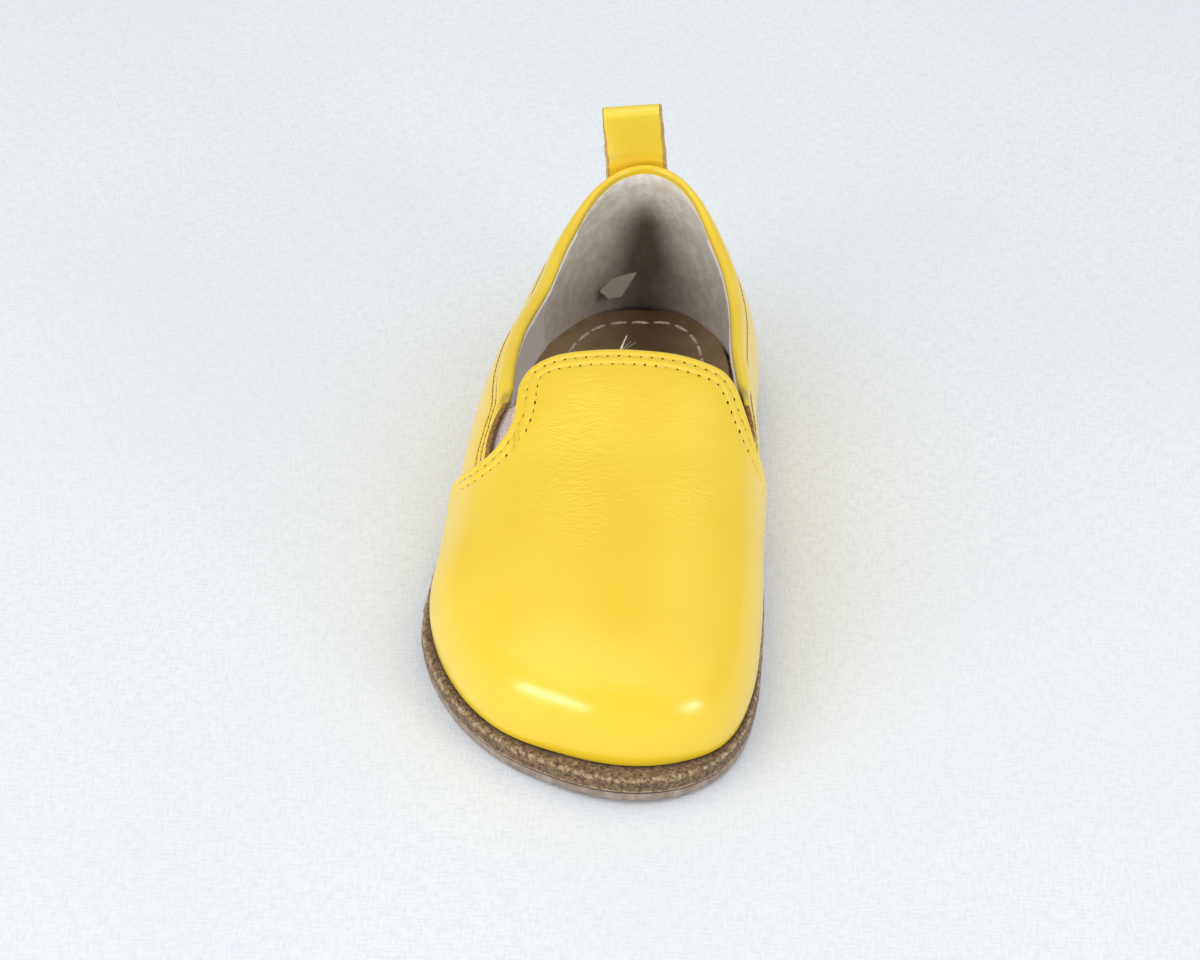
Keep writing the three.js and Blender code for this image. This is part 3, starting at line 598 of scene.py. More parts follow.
class Graph:
    """A material's node tree, built by short calls."""

    def __init__(self, name: str) -> None:
        """Starts a material with a Principled shader."""
        self.material = bpy.data.materials.new(name)
        self.material.use_nodes = True
        self.tree = self.material.node_tree
        self.shader = self.tree.nodes["Principled BSDF"]

    def node(self, kind: str, settings: dict | None = None, **inputs: object) -> bpy.types.Node:
        """Adds a node; inputs are numbers, colours or sockets, by name with _ for a space."""
        node = self.tree.nodes.new(kind)
        for key, value in (settings or {}).items():
            setattr(node, key, value)
        for key, value in inputs.items():
            self.set(node.inputs[key.replace("_", " ")], value)
        return node

    def wired(self, kind: str, settings: dict, inputs: dict[int, object], output: int) -> Socket:
        """Adds a node whose sockets are known by number."""
        node = self.node(kind, settings)
        for index, value in inputs.items():
            self.set(node.inputs[index], value)
        return node.outputs[output]

    def set(self, socket: Socket, value: object) -> None:
        """Links or sets one socket."""
        if isinstance(value, Socket):
            self.tree.links.new(value, socket)
        else:
            socket.default_value = value

    def place(self) -> Socket:
        """Object coordinates, in metres."""
        return self.node("ShaderNodeTexCoord").outputs["Object"]

    def stretched(self, x: float, y: float, z: float, at: Socket | None = None) -> Socket:
        """Places, or else Object coordinates, scaled along each axis."""
        node = self.node("ShaderNodeMapping", Vector=at or self.place(), Scale=(x, y, z))
        return node.outputs["Vector"]

    def warped(self, grain: float, reach: float) -> Socket:
        """Object coordinates pushed about by soft noise, by up to a reach in millimetres."""
        noise = self.node("ShaderNodeTexNoise", Vector=self.place(), Scale=1.0 / (grain * MM), Detail=1.0)
        inputs = {0: noise.outputs["Color"], 1: (2.0 * reach * MM,) * 3, 2: self.place()}
        return self.wired("ShaderNodeVectorMath", {"operation": "MULTIPLY_ADD"}, inputs, 0)

    def value(self, name: str) -> Socket:
        """A named value of the mesh's points."""
        return self.node("ShaderNodeAttribute", {"attribute_name": name}).outputs["Fac"]

    def noise(
        self, grain: float, detail: float = 3.0, roughness: float = 0.5, at: Socket | None = None
    ) -> Socket:
        """Noise whose grains are about a size in millimetres."""
        inputs = {"Vector": at or self.place(), "Scale": 1.0 / (grain * MM), "Detail": detail}
        return self.node("ShaderNodeTexNoise", Roughness=roughness, **inputs).outputs["Fac"]

    def cells(self, grain: float) -> Socket:
        """Distances in a pattern of cells of about a size in millimetres."""
        node = self.node("ShaderNodeTexVoronoi", Vector=self.place(), Scale=1.0 / (grain * MM))
        return node.outputs["Distance"]

    def ramp(self, value: Socket, low: float, high: float, start: float = 0.0, end: float = 1.0) -> Socket:
        """Smooth change from start to end as the value goes from low to high."""
        limits = {"From_Min": low, "From_Max": high, "To_Min": start, "To_Max": end}
        node = self.node("ShaderNodeMapRange", {"interpolation_type": "SMOOTHSTEP"}, Value=value, **limits)
        return node.outputs["Result"]

    def math(self, operation: str, first: object, second: object = 0.0) -> Socket:
        """One sum on values."""
        return self.wired("ShaderNodeMath", {"operation": operation}, {0: first, 1: second}, 0)

    def mix(self, share: object, start: object, end: object) -> Socket:
        """Mix of two colours."""
        return self.wired("ShaderNodeMix", {"data_type": "RGBA"}, {0: share, 6: start, 7: end}, 2)

    def bump(self, *layers: tuple[object, float]) -> None:
        """Gives the surface relief: each layer is a height pattern and its depth in millimetres."""
        normal = None
        for height, depth in layers:
            node = self.node("ShaderNodeBump", Height=height, Distance=depth * MM, Strength=1.0)
            if normal is not None:
                self.set(node.inputs["Normal"], normal)
            normal = node.outputs["Normal"]
        self.set(self.shader.inputs["Normal"], normal)

    def finish(self, colour: object, roughness: object, **constants: float) -> bpy.types.Material:
        """Sets the shader's colour, roughness and fixed numbers, and gives the material."""
        self.set(self.shader.inputs["Base Color"], colour)
        self.set(self.shader.inputs["Roughness"], roughness)
        for key, value in constants.items():
            self.shader.inputs[key.replace("_", " ")].default_value = value
        return self.material


Colour = tuple[float, float, float, float]


def srgb(red: int, green: int, blue: int) -> Colour:
    """Linear colour of a display colour."""
    share = np.array([red, green, blue]) / 255.0
    linear = np.where(share <= 0.04045, share / 12.92, ((share + 0.055) / 1.055) ** 2.4)
    return (*linear.tolist(), 1.0)


@dataclass(frozen=True)
class SmoothLeather:
    """Dyed grain leather: fine pores, short wrinkles where it is worked, raw cut edges, and painted shade
    where the collar's roll ends and where the tab crosses the collar.
    """

    name: str = "yellow_leather"
    colour: Colour = srgb(248, 213, 52)
    deep: Colour = srgb(246, 208, 42)
    raw: Colour = srgb(178, 130, 54)
    raw_dark: Colour = srgb(112, 78, 28)
    # Colour of the painted shade.
    shade: Colour = srgb(112, 82, 26)

    def material(self) -> bpy.types.Material:
        """Builds the material; it reads the values "raw", "shade" and "crinkle"."""
        graph = Graph(self.name)
        tone = graph.mix(graph.ramp(graph.noise(26.0, 1.0), 0.3, 0.7), self.colour, self.deep)
        fibre = graph.mix(graph.ramp(graph.noise(0.5, 4.0), 0.35, 0.65), self.raw_dark, self.raw)
        raw = graph.ramp(graph.value("raw"), 0.35, 0.65)
        # The value shade mixes in the painted shade.
        colour = graph.mix(raw, graph.mix(graph.value("shade"), tone, self.shade), fibre)
        ripples = graph.noise(0.78, 2.0, 0.5, graph.stretched(0.3, 1.0, 0.5, graph.warped(5.0, 1.5)))
        worked = graph.math("MULTIPLY", ripples, graph.value("crinkle"))
        fuzz = graph.math("MULTIPLY", graph.noise(0.5, 4.0), raw)
        graph.bump((worked, 0.22), (graph.noise(0.45, 2.0, 0.6), 0.03), (fuzz, 0.5))
        gloss = graph.ramp(graph.noise(1.3, 3.0), 0.3, 0.7, 0.2, 0.27)
        roughness = graph.math("ADD", gloss, graph.math("MULTIPLY", raw, 0.5))
        return graph.finish(colour, roughness, Specular_IOR_Level=0.7)


@dataclass(frozen=True)
class Suede:
    """Napped lining leather: greige, paler in front and at cut edges, with painted shade deep in the heel and
    low down, and a grey patch.
    """

    name: str = "lining_suede"
    light: Colour = srgb(247, 243, 235)
    dark: Colour = srgb(226, 217, 204)
    front: Colour = srgb(248, 245, 242)
    edge: Colour = srgb(236, 222, 216)
    # Colour of the painted shade.
    deep: Colour = srgb(66, 46, 28)
    patch: Colour = srgb(206, 200, 190)

    def material(self) -> bpy.types.Material:
        """Builds the material; it reads the values "front", "edge", "dim" and "patch"."""
        graph = Graph(self.name)
        mottle = graph.ramp(graph.noise(3.0, 6.0, 0.7), 0.35, 0.65)
        colour = graph.mix(mottle, self.light, self.dark)
        colour = graph.mix(graph.value("front"), colour, self.front)
        colour = graph.mix(graph.value("edge"), colour, self.edge)
        # Painted shade: the value dim darkens the lining deep in the heel and low down.
        colour = graph.mix(graph.value("dim"), colour, self.deep)
        colour = graph.mix(graph.ramp(graph.value("patch"), 0.44, 0.56), colour, self.patch)
        graph.bump((graph.noise(1.2, 4.0, 0.6), 0.16), (graph.noise(0.35, 3.0), 0.08))
        return graph.finish(colour, 0.92, Specular_IOR_Level=0.15, Sheen_Weight=0.25, Sheen_Roughness=0.5)


@dataclass(frozen=True)
class NappedSole:
    """Rough leather edge: mottled nap, a paler rim on its rounded top corner that is painted highlight and
    wear, a paler band near the bottom, a dark line of glue at its foot, and painted shade in the crease under
    the upper.
    """

    name: str = "midsole_leather"
    dark: Colour = srgb(66, 46, 28)
    middle: Colour = srgb(140, 112, 78)
    light: Colour = srgb(212, 186, 146)

    def material(self) -> bpy.types.Material:
        """Builds the material; it reads the values "worn" and "glue"."""
        graph = Graph(self.name)
        speckle = graph.ramp(graph.noise(0.8, 5.0, 0.7), 0.34, 0.62)
        base = graph.mix(speckle, self.dark, self.middle)
        # Painted highlight and wear on the top rim, and a paler band near the bottom.
        worn = graph.math("MULTIPLY", graph.value("worn"), 0.28)
        rub_and_highlight = graph.math("ADD", graph.noise(1.1, 6.0, 0.75), worn)
        colour = graph.mix(graph.ramp(rub_and_highlight, 0.58, 0.86), base, self.light)
        # Painted shade in the crease under the upper, with the dark glue line at the foot.
        glued_and_shaded = graph.mix(graph.value("glue"), colour, self.dark)
        graph.bump((graph.noise(0.7, 5.0, 0.65), 0.35), (graph.noise(0.3, 3.0), 0.15))
        return graph.finish(glued_and_shaded, 0.9, Specular_IOR_Level=0.2, Sheen_Weight=0.25)


@dataclass(frozen=True)
class InsoleLeather:
    """Brown leather rubbed matt."""

    name: str = "insole_brown"
    colour: Colour = srgb(170, 142, 106)
    dark: Colour = srgb(150, 122, 86)
    worn: Colour = srgb(80, 58, 36)

    def material(self) -> bpy.types.Material:
        """Builds the material; it reads the value "middle"."""
        graph = Graph(self.name)
        colour = graph.mix(graph.ramp(graph.noise(5.0, 5.0, 0.6), 0.3, 0.7), self.colour, self.dark)
        colour = graph.mix(graph.value("middle"), colour, self.worn)
        graph.bump((graph.noise(0.9, 4.0), 0.12), (graph.cells(0.5), 0.04))
        return graph.finish(colour, 0.62, Specular_IOR_Level=0.3)


@dataclass(frozen=True)
class Mottled:
    """A plain finish: two mottled colours and a fine relief.

    grain, detail and raggedness are the mottling's, contrast the noise values where it ends; relief
    holds a grain, a detail and a depth.
    """

    name: str
    colour: Colour
    shade: Colour
    grain: float
    relief: tuple[float, float, float]
    gloss: float
    detail: float = 2.0
    raggedness: float = 0.5
    contrast: tuple[float, float] = (0.35, 0.65)
    sheen: float = 0.0
    specular: float = 0.5

    def material(self) -> bpy.types.Material:
        """Builds the material."""
        graph = Graph(self.name)
        speckle = graph.ramp(graph.noise(self.grain, self.detail, self.raggedness), *self.contrast)
        grain, detail, depth = self.relief
        graph.bump((graph.noise(grain, detail), depth))
        colour = graph.mix(speckle, self.colour, self.shade)
        return graph.finish(colour, self.gloss, Sheen_Weight=self.sheen, Specular_IOR_Level=self.specular)


def thread(name: str, colour: Colour, shade: Colour) -> Mottled:
    """Sewing thread, mottled by its plies."""
    return Mottled(name, colour, shade, grain=0.8, relief=(0.25, 2.0, 0.08), gloss=0.45, sheen=0.3)


RUBBER = Mottled(
    "outsole_rubber",
    srgb(170, 154, 142),
    srgb(144, 127, 115),
    grain=2.2,
    detail=4.0,
    relief=(0.5, 3.0, 0.08),
    gloss=0.8,
)
KNIT = Mottled(
    "elastic_knit",
    srgb(226, 210, 206),
    srgb(180, 158, 154),
    grain=0.4,
    detail=3.0,
    raggedness=0.6,
    contrast=(0.38, 0.62),
    relief=(0.3, 3.0, 0.12),
    gloss=0.95,
    sheen=0.3,
)
# Dark dots at the needle holes: painted shade in the holes.
NEEDLE_HOLE_SHADE = Mottled(
    "needle_hole_shade",
    srgb(104, 74, 12),
    srgb(74, 50, 10),
    grain=0.2,
    contrast=(0.0, 1.0),
    relief=(0.2, 2.0, 0.01),
    gloss=1.0,
    specular=0.1,
)
YELLOW_THREAD = thread("yellow_thread", srgb(253, 228, 120), srgb(246, 210, 70))
OCHRE_THREAD = thread("ochre_thread", srgb(214, 172, 48), srgb(160, 120, 30))
PALE_THREAD = thread("pale_thread", srgb(222, 212, 194), srgb(180, 166, 146))
# The tab's body colours, lighter than the yellow leather, are painted light; its pale tan raw edges are its
# own.
TAB_LEATHER = SmoothLeather(
    "tab_leather",
    colour=srgb(251, 221, 76),
    deep=srgb(250, 217, 66),
    raw=srgb(226, 190, 118),
    raw_dark=srgb(186, 146, 72),
)


# Stitches


@dataclass(frozen=True)
class StitchSizes:
    """A running stitch: its pitch, the share of it that the thread covers, and the thread and holes.

    slant is how far a stitch's ends stand to either side of the row; a hole's half length lies along
    the shoe, its half width across.
    """

    pitch: float = 2.35
    cover: float = 0.7
    radius: float = 0.13
    rise: float = 0.12
    slant: float = 0.2
    hole_length: float = 0.64
    hole_width: float = 0.26


COLLAR_STITCH = StitchSizes(pitch=2.1, cover=0.8, slant=0.05, hole_length=0.32, hole_width=0.18)
TAB_STITCH = StitchSizes(hole_length=0.4)
INSOLE_STITCH = StitchSizes(pitch=5.3, cover=0.83, radius=0.42, rise=0.25, slant=0.0)
NEEDLE = np.array([0.0, 1.0, 0.0])
STITCH_RINGS = 7
STITCH_SIDES = 7
STITCH_FLATNESS = 0.8
STITCH_TIP = 0.02
HOLE_SIDES = 10
HOLE_RINGS = np.array([1.0, 0.9, 0.05])
HOLE_HEIGHTS = np.array([-0.3, 0.08, 0.1])


def circle(sides: int) -> Array:
    """Even angles round a circle."""
    return np.linspace(0.0, 2 * np.pi, sides, endpoint=False)


def capsules(points: Array) -> Sheet:
    """Closed tubes from rings of points, indexed by tube, ring and side, with their ends filled."""
    tubes, rings, sides, _ = points.shape
    ring = np.arange(rings - 1)[:, None] * sides
    a = (ring + np.arange(sides)).ravel()
    b = (ring + (np.arange(sides) + 1) % sides).ravel()
    wall = np.concatenate([np.stack([a, b, b + sides], 1), np.stack([a, b + sides, a + sides], 1)])
    fan = np.arange(1, sides - 1)
    first = np.stack([np.zeros_like(fan), fan + 1, fan], 1)
    final = np.stack([np.zeros_like(fan), fan, fan + 1], 1) + (rings - 1) * sides
    template = np.concatenate([wall, first, final])
    starts = np.arange(tubes)[:, None, None] * rings * sides
    return Sheet(points.reshape(-1, 3), (template + starts).reshape(-1, 3), {})


def capsules_at(centre: Array, axes: tuple[Array, ...], reaches: tuple[Array, ...]) -> Sheet:
    """The same rings of points at each centre, reaching along each centre's own three axes."""
    points = centre[:, None, None]
    for axis, reach in zip(axes, reaches):
        points = points + reach[None, ..., None] * axis[:, None, None]
    return capsules(points)


class Seam:
    """A row of stitches along a path on a surface."""

    def __init__(self, path: Path, normals: Array, sizes: StitchSizes) -> None:
        """Takes the path, the surface's normals at its points, and the stitch."""
        self.sizes = sizes
        self.path = path
        self.normals = normals
        self.count = max(1, int(round(path.length / sizes.pitch)))
        self.pitch = path.length / self.count

    def frames(self, run: Array, step: float = 0.25) -> tuple[Array, Array, Array, Array]:
        """Centre, direction, side and normal at distances along the path."""
        along = unit(self.path.at(run + step) - self.path.at(run - step))
        normal = unit(interpolated(run, self.path.run, self.normals))
        side = unit(np.cross(normal, along))
        return self.path.at(run), along, side, np.cross(along, side)

    def stitches(self) -> Sheet:
        """One bent capsule for each stitch, whose two ends dive into the leather."""
        s = self.sizes
        centre, *axes = self.frames((np.arange(self.count) + 0.5) * self.pitch)
        turn = np.linspace(0.0, np.pi, STITCH_RINGS)[:, None]
        girth = np.sqrt(np.maximum(STITCH_TIP, np.sin(turn))) * s.radius
        height = s.rise * (np.sin(turn) ** 0.6 * 1.6 - 1.0)
        across = np.cos(circle(STITCH_SIDES)) * girth + s.slant * np.cos(turn)
        up = np.sin(circle(STITCH_SIDES)) * girth * STITCH_FLATNESS + height
        reach = np.broadcast_to(-np.cos(turn) * self.pitch * s.cover / 2.0, across.shape)
        return capsules_at(centre, axes, (reach, across, up))

    def holes(self) -> Sheet:
        """A shallow dark dot at each needle hole: painted shade in the hole."""
        centre, _, _, normal = self.frames(np.arange(self.count + 1) * self.pitch)
        along = unit(NEEDLE - normal * (normal @ NEEDLE)[:, None])
        turn = circle(HOLE_SIDES)
        reach = self.sizes.hole_length * HOLE_RINGS[:, None] * np.cos(turn)
        across = self.sizes.hole_width * HOLE_RINGS[:, None] * np.sin(turn)
        up = np.broadcast_to(HOLE_HEIGHTS[:, None], reach.shape)
        return capsules_at(centre, (along, np.cross(normal, along), normal), (reach, across, up))


@dataclass(frozen=True)
class LooseThread:
    """A frayed end of thread behind the throat: one thick strand and thin fibres, in millimetres."""

    base: tuple[float, float, float] = (3.2, 2.4, 45.2)
    height: float = 7.4
    lean: float = 1.9
    spread: float = 0.9
    strand: float = 0.5
    fibre: float = 0.13
    fibre_count: int = 9
    rings: int = 9
    sides: int = 6

    def fibres(self) -> Sheet:
        """Tapering tubes that rise from one base and part as they go up, by the square of the height."""
        share = np.linspace(0.0, 1.0, self.rings)
        turn = circle(self.sides)
        ring = np.stack([np.cos(turn), np.sin(turn), np.zeros_like(turn)], axis=-1)
        tubes = []
        for number in range(self.fibre_count):
            reach = self.height * (1.0 - 0.08 * number)
            spread = self.lean * share**2 + self.spread * (number % 4 - 1) * share**2 * (number > 0)
            back = 0.35 * np.sin(2.4 * number) * share**2
            wave = 0.12 * np.sin(4.0 * share + number)
            line = np.stack([spread + wave * share, back, reach * share], axis=-1) + np.array(self.base)
            girth = (self.strand if number == 0 else self.fibre) * (1.0 - 0.8 * share)
            tubes.append(line[:, None, :] + girth[:, None, None] * ring[None])
        return capsules(np.array(tubes))


def nearest_rows(points: Array, places: Array) -> Array:
    """Row of the point that is nearest to each place."""
    return np.array([np.argmin(np.sum((points - place) ** 2, axis=1)) for place in places])


def snapped(path: Path, surface: Sheet, lift: float) -> tuple[Path, Array]:
    """A path laid on a surface.

    Args:
        path: the path, near the surface.
        surface: its dense sheet; only the outer side is read.
        lift: height above the surface.

    Returns:
        The path, which keeps its distances along the row, and the surface's normals at its points.
    """
    outer = surface.values.get("inner", np.zeros(len(surface.points))) < 0.5
    points = surface.points[outer]
    normals = surface.normals()[outer]
    nearest = nearest_rows(points, path.points)
    normal = normals[nearest]
    gap = np.sum((points[nearest] - path.points) * normal, axis=1)
    laid = Path(path.points + normal * (gap + lift)[:, None])
    laid.run, laid.length = path.run, path.length
    return laid, normal


# Vamp


@dataclass(frozen=True)
class Crease:
    """A soft trough across the vamp: its ends in plan, its sag, its depth and its width."""

    start: tuple[float, float]
    end: tuple[float, float]
    bow: float
    depth: float
    width: float

    def trough(self, points: Array) -> Array:
        """Depth at points: a bell across the bowed line, faded at both ends."""
        start, end = np.array(self.start), np.array(self.end)
        direction = end - start
        offset = points[:, :2] - start
        share = offset @ direction / (direction @ direction)
        side = offset @ np.array([-direction[1], direction[0]]) / np.linalg.norm(direction)
        fade = smooth_step(-0.05, 0.25, share) * (1.0 - smooth_step(0.75, 1.05, share))
        sag = self.bow * 4.0 * share * (1.0 - share)
        return self.depth * fade * bell(side - sag, 0.0, self.width)


@dataclass(frozen=True)
class VampSizes:
    """Sizes of the vamp, in millimetres; lip and puff rise over the distance from its back edge."""

    step: float = 1.2
    inside: float = 0.9
    rim_depth: float = 1.4
    rim_share: float = 0.3
    toe_corner: float = 150.0
    seam_foot_shift: float = 1.5
    lining: float = 0.35
    lining_gap: float = 0.02
    lining_inset: float = 4.0
    seam_insets: tuple[float, float] = (2.4, 4.8)
    groove: Ridge = Ridge(0.2, 0.0, 0.36)
    dent: Ridge = Ridge(0.2, 0.0, 0.5)
    lip: Ridge = Ridge(0.2, 1.0, 0.9)
    puff: Ridge = Ridge(0.16, 3.6, 1.0)
    wrinkling: float = 0.14
    fray: float = 0.05
    fray_top: float = 33.5
    columns: int = 290
    face_rows: int = 96
    face_power: float = 1.8
    edge_band: float = 7.5
    edge_rows: int = 24
    rim_rows: int = 7
    tuck_rows: int = 6


LINING_FACETS = VampSizes(columns=80, face_rows=40, edge_rows=4, rim_rows=2, tuck_rows=3)
GUIDE_FACETS = VampSizes(columns=90, face_rows=30, edge_rows=8, rim_rows=2, tuck_rows=2)
PATH_STEP = 0.6


VAMP_EDGE = [
    (-1, -9), (-0.93, -13.5), (-0.82, -16.6), (-0.725, -15.8), (-0.645, -11.3), (-0.638, -6), (-0.632, -1.2),
    (-0.585, 1.7), (-0.48, 3), (-0.25, 2.6), (0.05, 2.3), (0.32, 1.8), (0.52, 1.1), (0.68, 0.6),
    (0.75, -1.2), (0.8, -4), (0.862, -8.2), (0.925, -11.6), (0.983, -10.3), (1, -6.8),
]

CREASES = [
    Crease(start=(-24, -22), end=(34, -20), bow=-4, depth=0.14, width=4.0),
    Crease(start=(-16, -6), end=(-6, -14), bow=1, depth=0.15, width=2.0),
    Crease(start=(30, -8), end=(20, -17), bow=1, depth=0.15, width=2.2),
]


@dataclass(frozen=True)
class Crinkle:
    """A patch of fine wrinkles on the vamp: its middle and half sizes in plan, and its strength."""

    middle: tuple[float, float]
    half: tuple[float, float]
    strength: float

    def share(self, points: Array) -> Array:
        """Strength at points, a bell over the patch."""
        across, along = (bell(points[:, k], self.middle[k], self.half[k]) for k in (0, 1))
        return self.strength * across * along


CRINKLES = [
    Crinkle(middle=(-7, -19), half=(12, 15), strength=0.8),
    Crinkle(middle=(0, -38), half=(13, 12), strength=0.7),
    Crinkle(middle=(23, -32), half=(9, 9), strength=0.75),
    Crinkle(middle=(12, -13), half=(16, 8), strength=0.45),
]


@dataclass
class Vamp:
    """The front of the upper: a patch between the toe, the two sides and its back edge."""

    last: Last
    sizes: VampSizes

    def __post_init__(self) -> None:
        """Works out the back edge, and where it meets the sides."""
        across, y = np.array(VAMP_EDGE, float).T
        self.edge = smooth_path(self.last.point(across, y))
        self.outer_seam = float(self.last.angle_at(np.array(y[0]), Side.OUTER.value))
        self.inner_seam = float(self.last.angle_at(np.array(y[-1]), Side.INNER.value))

    def outer_angle(self, back: Array) -> Array:
        """Outline angle along the outer side."""
        return lerp(-self.sizes.toe_corner, self.outer_seam, back)

    def inner_angle(self, back: Array) -> Array:
        """Outline angle along the inner side."""
        return lerp(self.sizes.toe_corner, self.inner_seam, back)

    def toe_angle(self, across: Array) -> Array:
        """Outline angle round the toe."""
        return -self.sizes.toe_corner - across * (360.0 - 2.0 * self.sizes.toe_corner)

    def plan(self, across: Array, back: Array) -> Array:
        """Blend of the four boundaries in plan (a Coons patch)."""
        across, back = np.broadcast_arrays(across, back)
        toe = self.last.widest(self.toe_angle(across))
        toe_start = self.last.widest(np.array(self.toe_angle(0.0)))
        toe_end = self.last.widest(np.array(self.toe_angle(1.0)))
        edge = self.edge.at(across * self.edge.length)[..., :2]
        edge_start = self.edge.points[0, :2]
        edge_end = self.edge.points[-1, :2]
        outer = self.last.widest(self.outer_angle(back))
        inner = self.last.widest(self.inner_angle(back))
        share_across, share_back = across[..., None], back[..., None]
        lengthwise = lerp(toe, edge, share_back)
        crosswise = lerp(outer, inner, share_across)
        outer_side = lerp(toe_start, edge_start, share_back)
        inner_side = lerp(toe_end, edge_end, share_back)
        return lengthwise + crosswise - lerp(outer_side, inner_side, share_across)

    def point(self, across: Array, back: Array) -> Array:
        """Point of the patch, from the outer (0) to the inner side (1) and from the toe (0) back (1)."""
        plan = self.plan(across, back)
        x, y = plan[..., 0], plan[..., 1]
        ridge = self.last.ridge_x(y)
        sign = np.where(x < ridge, -1.0, 1.0)
        reach = np.maximum(1e-6, np.abs(self.last.widest_x(y, sign) - ridge))
        return self.last.point(sign * np.abs(x - ridge) / reach, y)

    def depths(self) -> Array:
        """Distances of the rows next to the back edge, from the face towards the edge."""
        s = self.sizes
        band = np.linspace(s.edge_band, s.rim_depth, s.edge_rows + 1)
        turn = np.linspace(0.0, np.pi / 2, s.rim_rows + 1)[1:]
        return np.concatenate([band, s.rim_depth * (1.0 - np.sin(turn))])

    def sheet(self) -> Sheet:
        """The patch and the tuck under its outline.

        Rows close up at the toe by a power, and the last ones stand at set distances from the back
        edge. Columns close up at both sides by a cosine. Values: "depth" from the back edge (for rows
        next to it) and "foot", 1 along the foot.
        """
        s = self.sizes
        across = (1.0 - np.cos(np.linspace(0.0, np.pi, s.columns + 1))) / 2.0
        near = self.point(across, np.full_like(across, 0.9))
        reach = 10.0 * np.linalg.norm(self.point(across, np.ones_like(across)) - near, axis=1)
        depths = self.depths()
        start = 1.0 - depths[0] / reach
        face = np.linspace(0.0, 1.0, s.face_rows, endpoint=False)[None, :] ** s.face_power * start[:, None]
        back = np.hstack([face, 1.0 - depths[None, :] / reach[:, None]])
        rows = back.shape[1] - 1
        points = self.point(np.repeat(across[:, None], rows + 1, axis=1), back)
        depth = np.concatenate([np.full(s.face_rows, 99.0), depths])
        patch = grid_sheet(points, depth=depth[None, :], foot=0.0)
        outline = np.concatenate(
            [
                np.arange(rows, 0, -1),
                np.arange(s.columns + 1) * (rows + 1),
                s.columns * (rows + 1) + np.arange(1, rows + 1),
            ]
        )
        angles = np.concatenate(
            [self.outer_angle(back[0, :0:-1]), self.toe_angle(across), self.inner_angle(back[-1, 1:])]
        )
        side_rows = np.arange(1, rows + 1)
        row_share = np.concatenate([side_rows[::-1], np.zeros(s.columns + 1), side_rows]) / rows
        drops = np.linspace(0.0, 1.0, s.tuck_rows + 1)
        tuck = self.last.tuck(angles[:, None], drops[None, :] * np.ones_like(angles)[:, None])
        tuck[..., 1] += s.seam_foot_shift * drops[None, :] * row_share[:, None] ** 40
        under = tuck[:, 1:]
        count = len(patch.points)
        new_rows = count + np.arange(under.shape[0] * s.tuck_rows).reshape(-1, s.tuck_rows)
        index = np.hstack([outline[:, None], new_rows])
        a, b, c, d = index[:-1, :-1], index[:-1, 1:], index[1:, 1:], index[1:, :-1]
        strips = [np.stack([a, b, c], -1).reshape(-1, 3), np.stack([a, c, d], -1).reshape(-1, 3)]
        outline_depth = np.repeat(patch.values["depth"][outline], s.tuck_rows)
        foot = np.tile(np.arange(1, s.tuck_rows + 1) == s.tuck_rows, len(outline)).astype(float)
        return Sheet(
            np.vstack([patch.points, under.reshape(-1, 3)]),
            np.vstack([patch.triangles, *strips]),
            {
                "depth": np.concatenate([patch.values["depth"], outline_depth]),
                "foot": np.concatenate([patch.values["foot"], foot]),
            },
        )

    def relief(self, sheet: Sheet, edge_distance: Array) -> Array:
        """Height of lip, stitching and creases over the plain face.

        The lip swells next to the back edge, each row of stitches presses a groove in, with a round
        dent at each needle hole, the leather puffs up between the rows, and the creases sink in.
        """
        s = self.sizes
        height = s.lip.at(edge_distance) + s.puff.at(edge_distance)
        for path in self.seam_paths:
            line, _ = snapped(path.evenly(PATH_STEP), sheet, 0.0)
            height -= s.groove.at(line.distance(sheet.points, 0.5))
            count = max(1, int(round(line.length / StitchSizes.pitch)))
            for hole in line.at(np.linspace(0.0, line.length, count + 1)):
                height -= s.dent.at(np.linalg.norm(sheet.points - hole, axis=1))
        return height - sum(crease.trough(sheet.points) for crease in CREASES)

    def wall(self) -> Sheet:
        """The vamp as a closed wall, with its back edge rounded."""
        s = self.sizes
        sheet = self.sheet()
        half = (s.step + s.inside) / 2.0
        middle = (s.step - s.inside) / 2.0
        rim = np.clip(1.0 - sheet.values["depth"] / s.rim_depth, 0.0, 1.0)
        swell = lerp(s.rim_share, 1.0, np.sqrt(np.maximum(0.0, 1.0 - rim**2.2)))
        distance = self.edge.distance(sheet.points, 0.5)
        raised = self.relief(sheet, distance) * np.where(rim > 0.98, 0.0, 1.0)
        y, z = sheet.points[:, 1], sheet.points[:, 2]
        worked = sum(crinkle.share(sheet.points) for crinkle in CRINKLES)
        base = s.wrinkling * smooth_step(-66.0, -40.0, y)
        sheet.values["crinkle"] = (base + worked) * smooth_step(3.0, 7.0, distance)
        fray = s.fray * lattice_noise(sheet.points, 0.6, 3) * (rim > 0.5) * (z < s.fray_top)
        return sheet.thickened(middle + half * swell + raised + fray, middle - half * swell, level_foot=True)

    def lining(self) -> Sheet:
        """A thin closed sheet inside the vamp, that ends before the back edge."""
        s = self.sizes
        sheet = Vamp(self.last, LINING_FACETS).sheet()
        distance = self.edge.distance(sheet.points, 1.0)
        keep = np.all(distance[sheet.triangles] > s.lining_inset, axis=1)
        used, index = np.unique(sheet.triangles[keep], return_inverse=True)
        values = {name: value[used] for name, value in sheet.values.items()}
        outside = -s.inside - s.lining_gap
        return Sheet(sheet.points[used], index.reshape(-1, 3), values).thickened(outside, outside - s.lining)

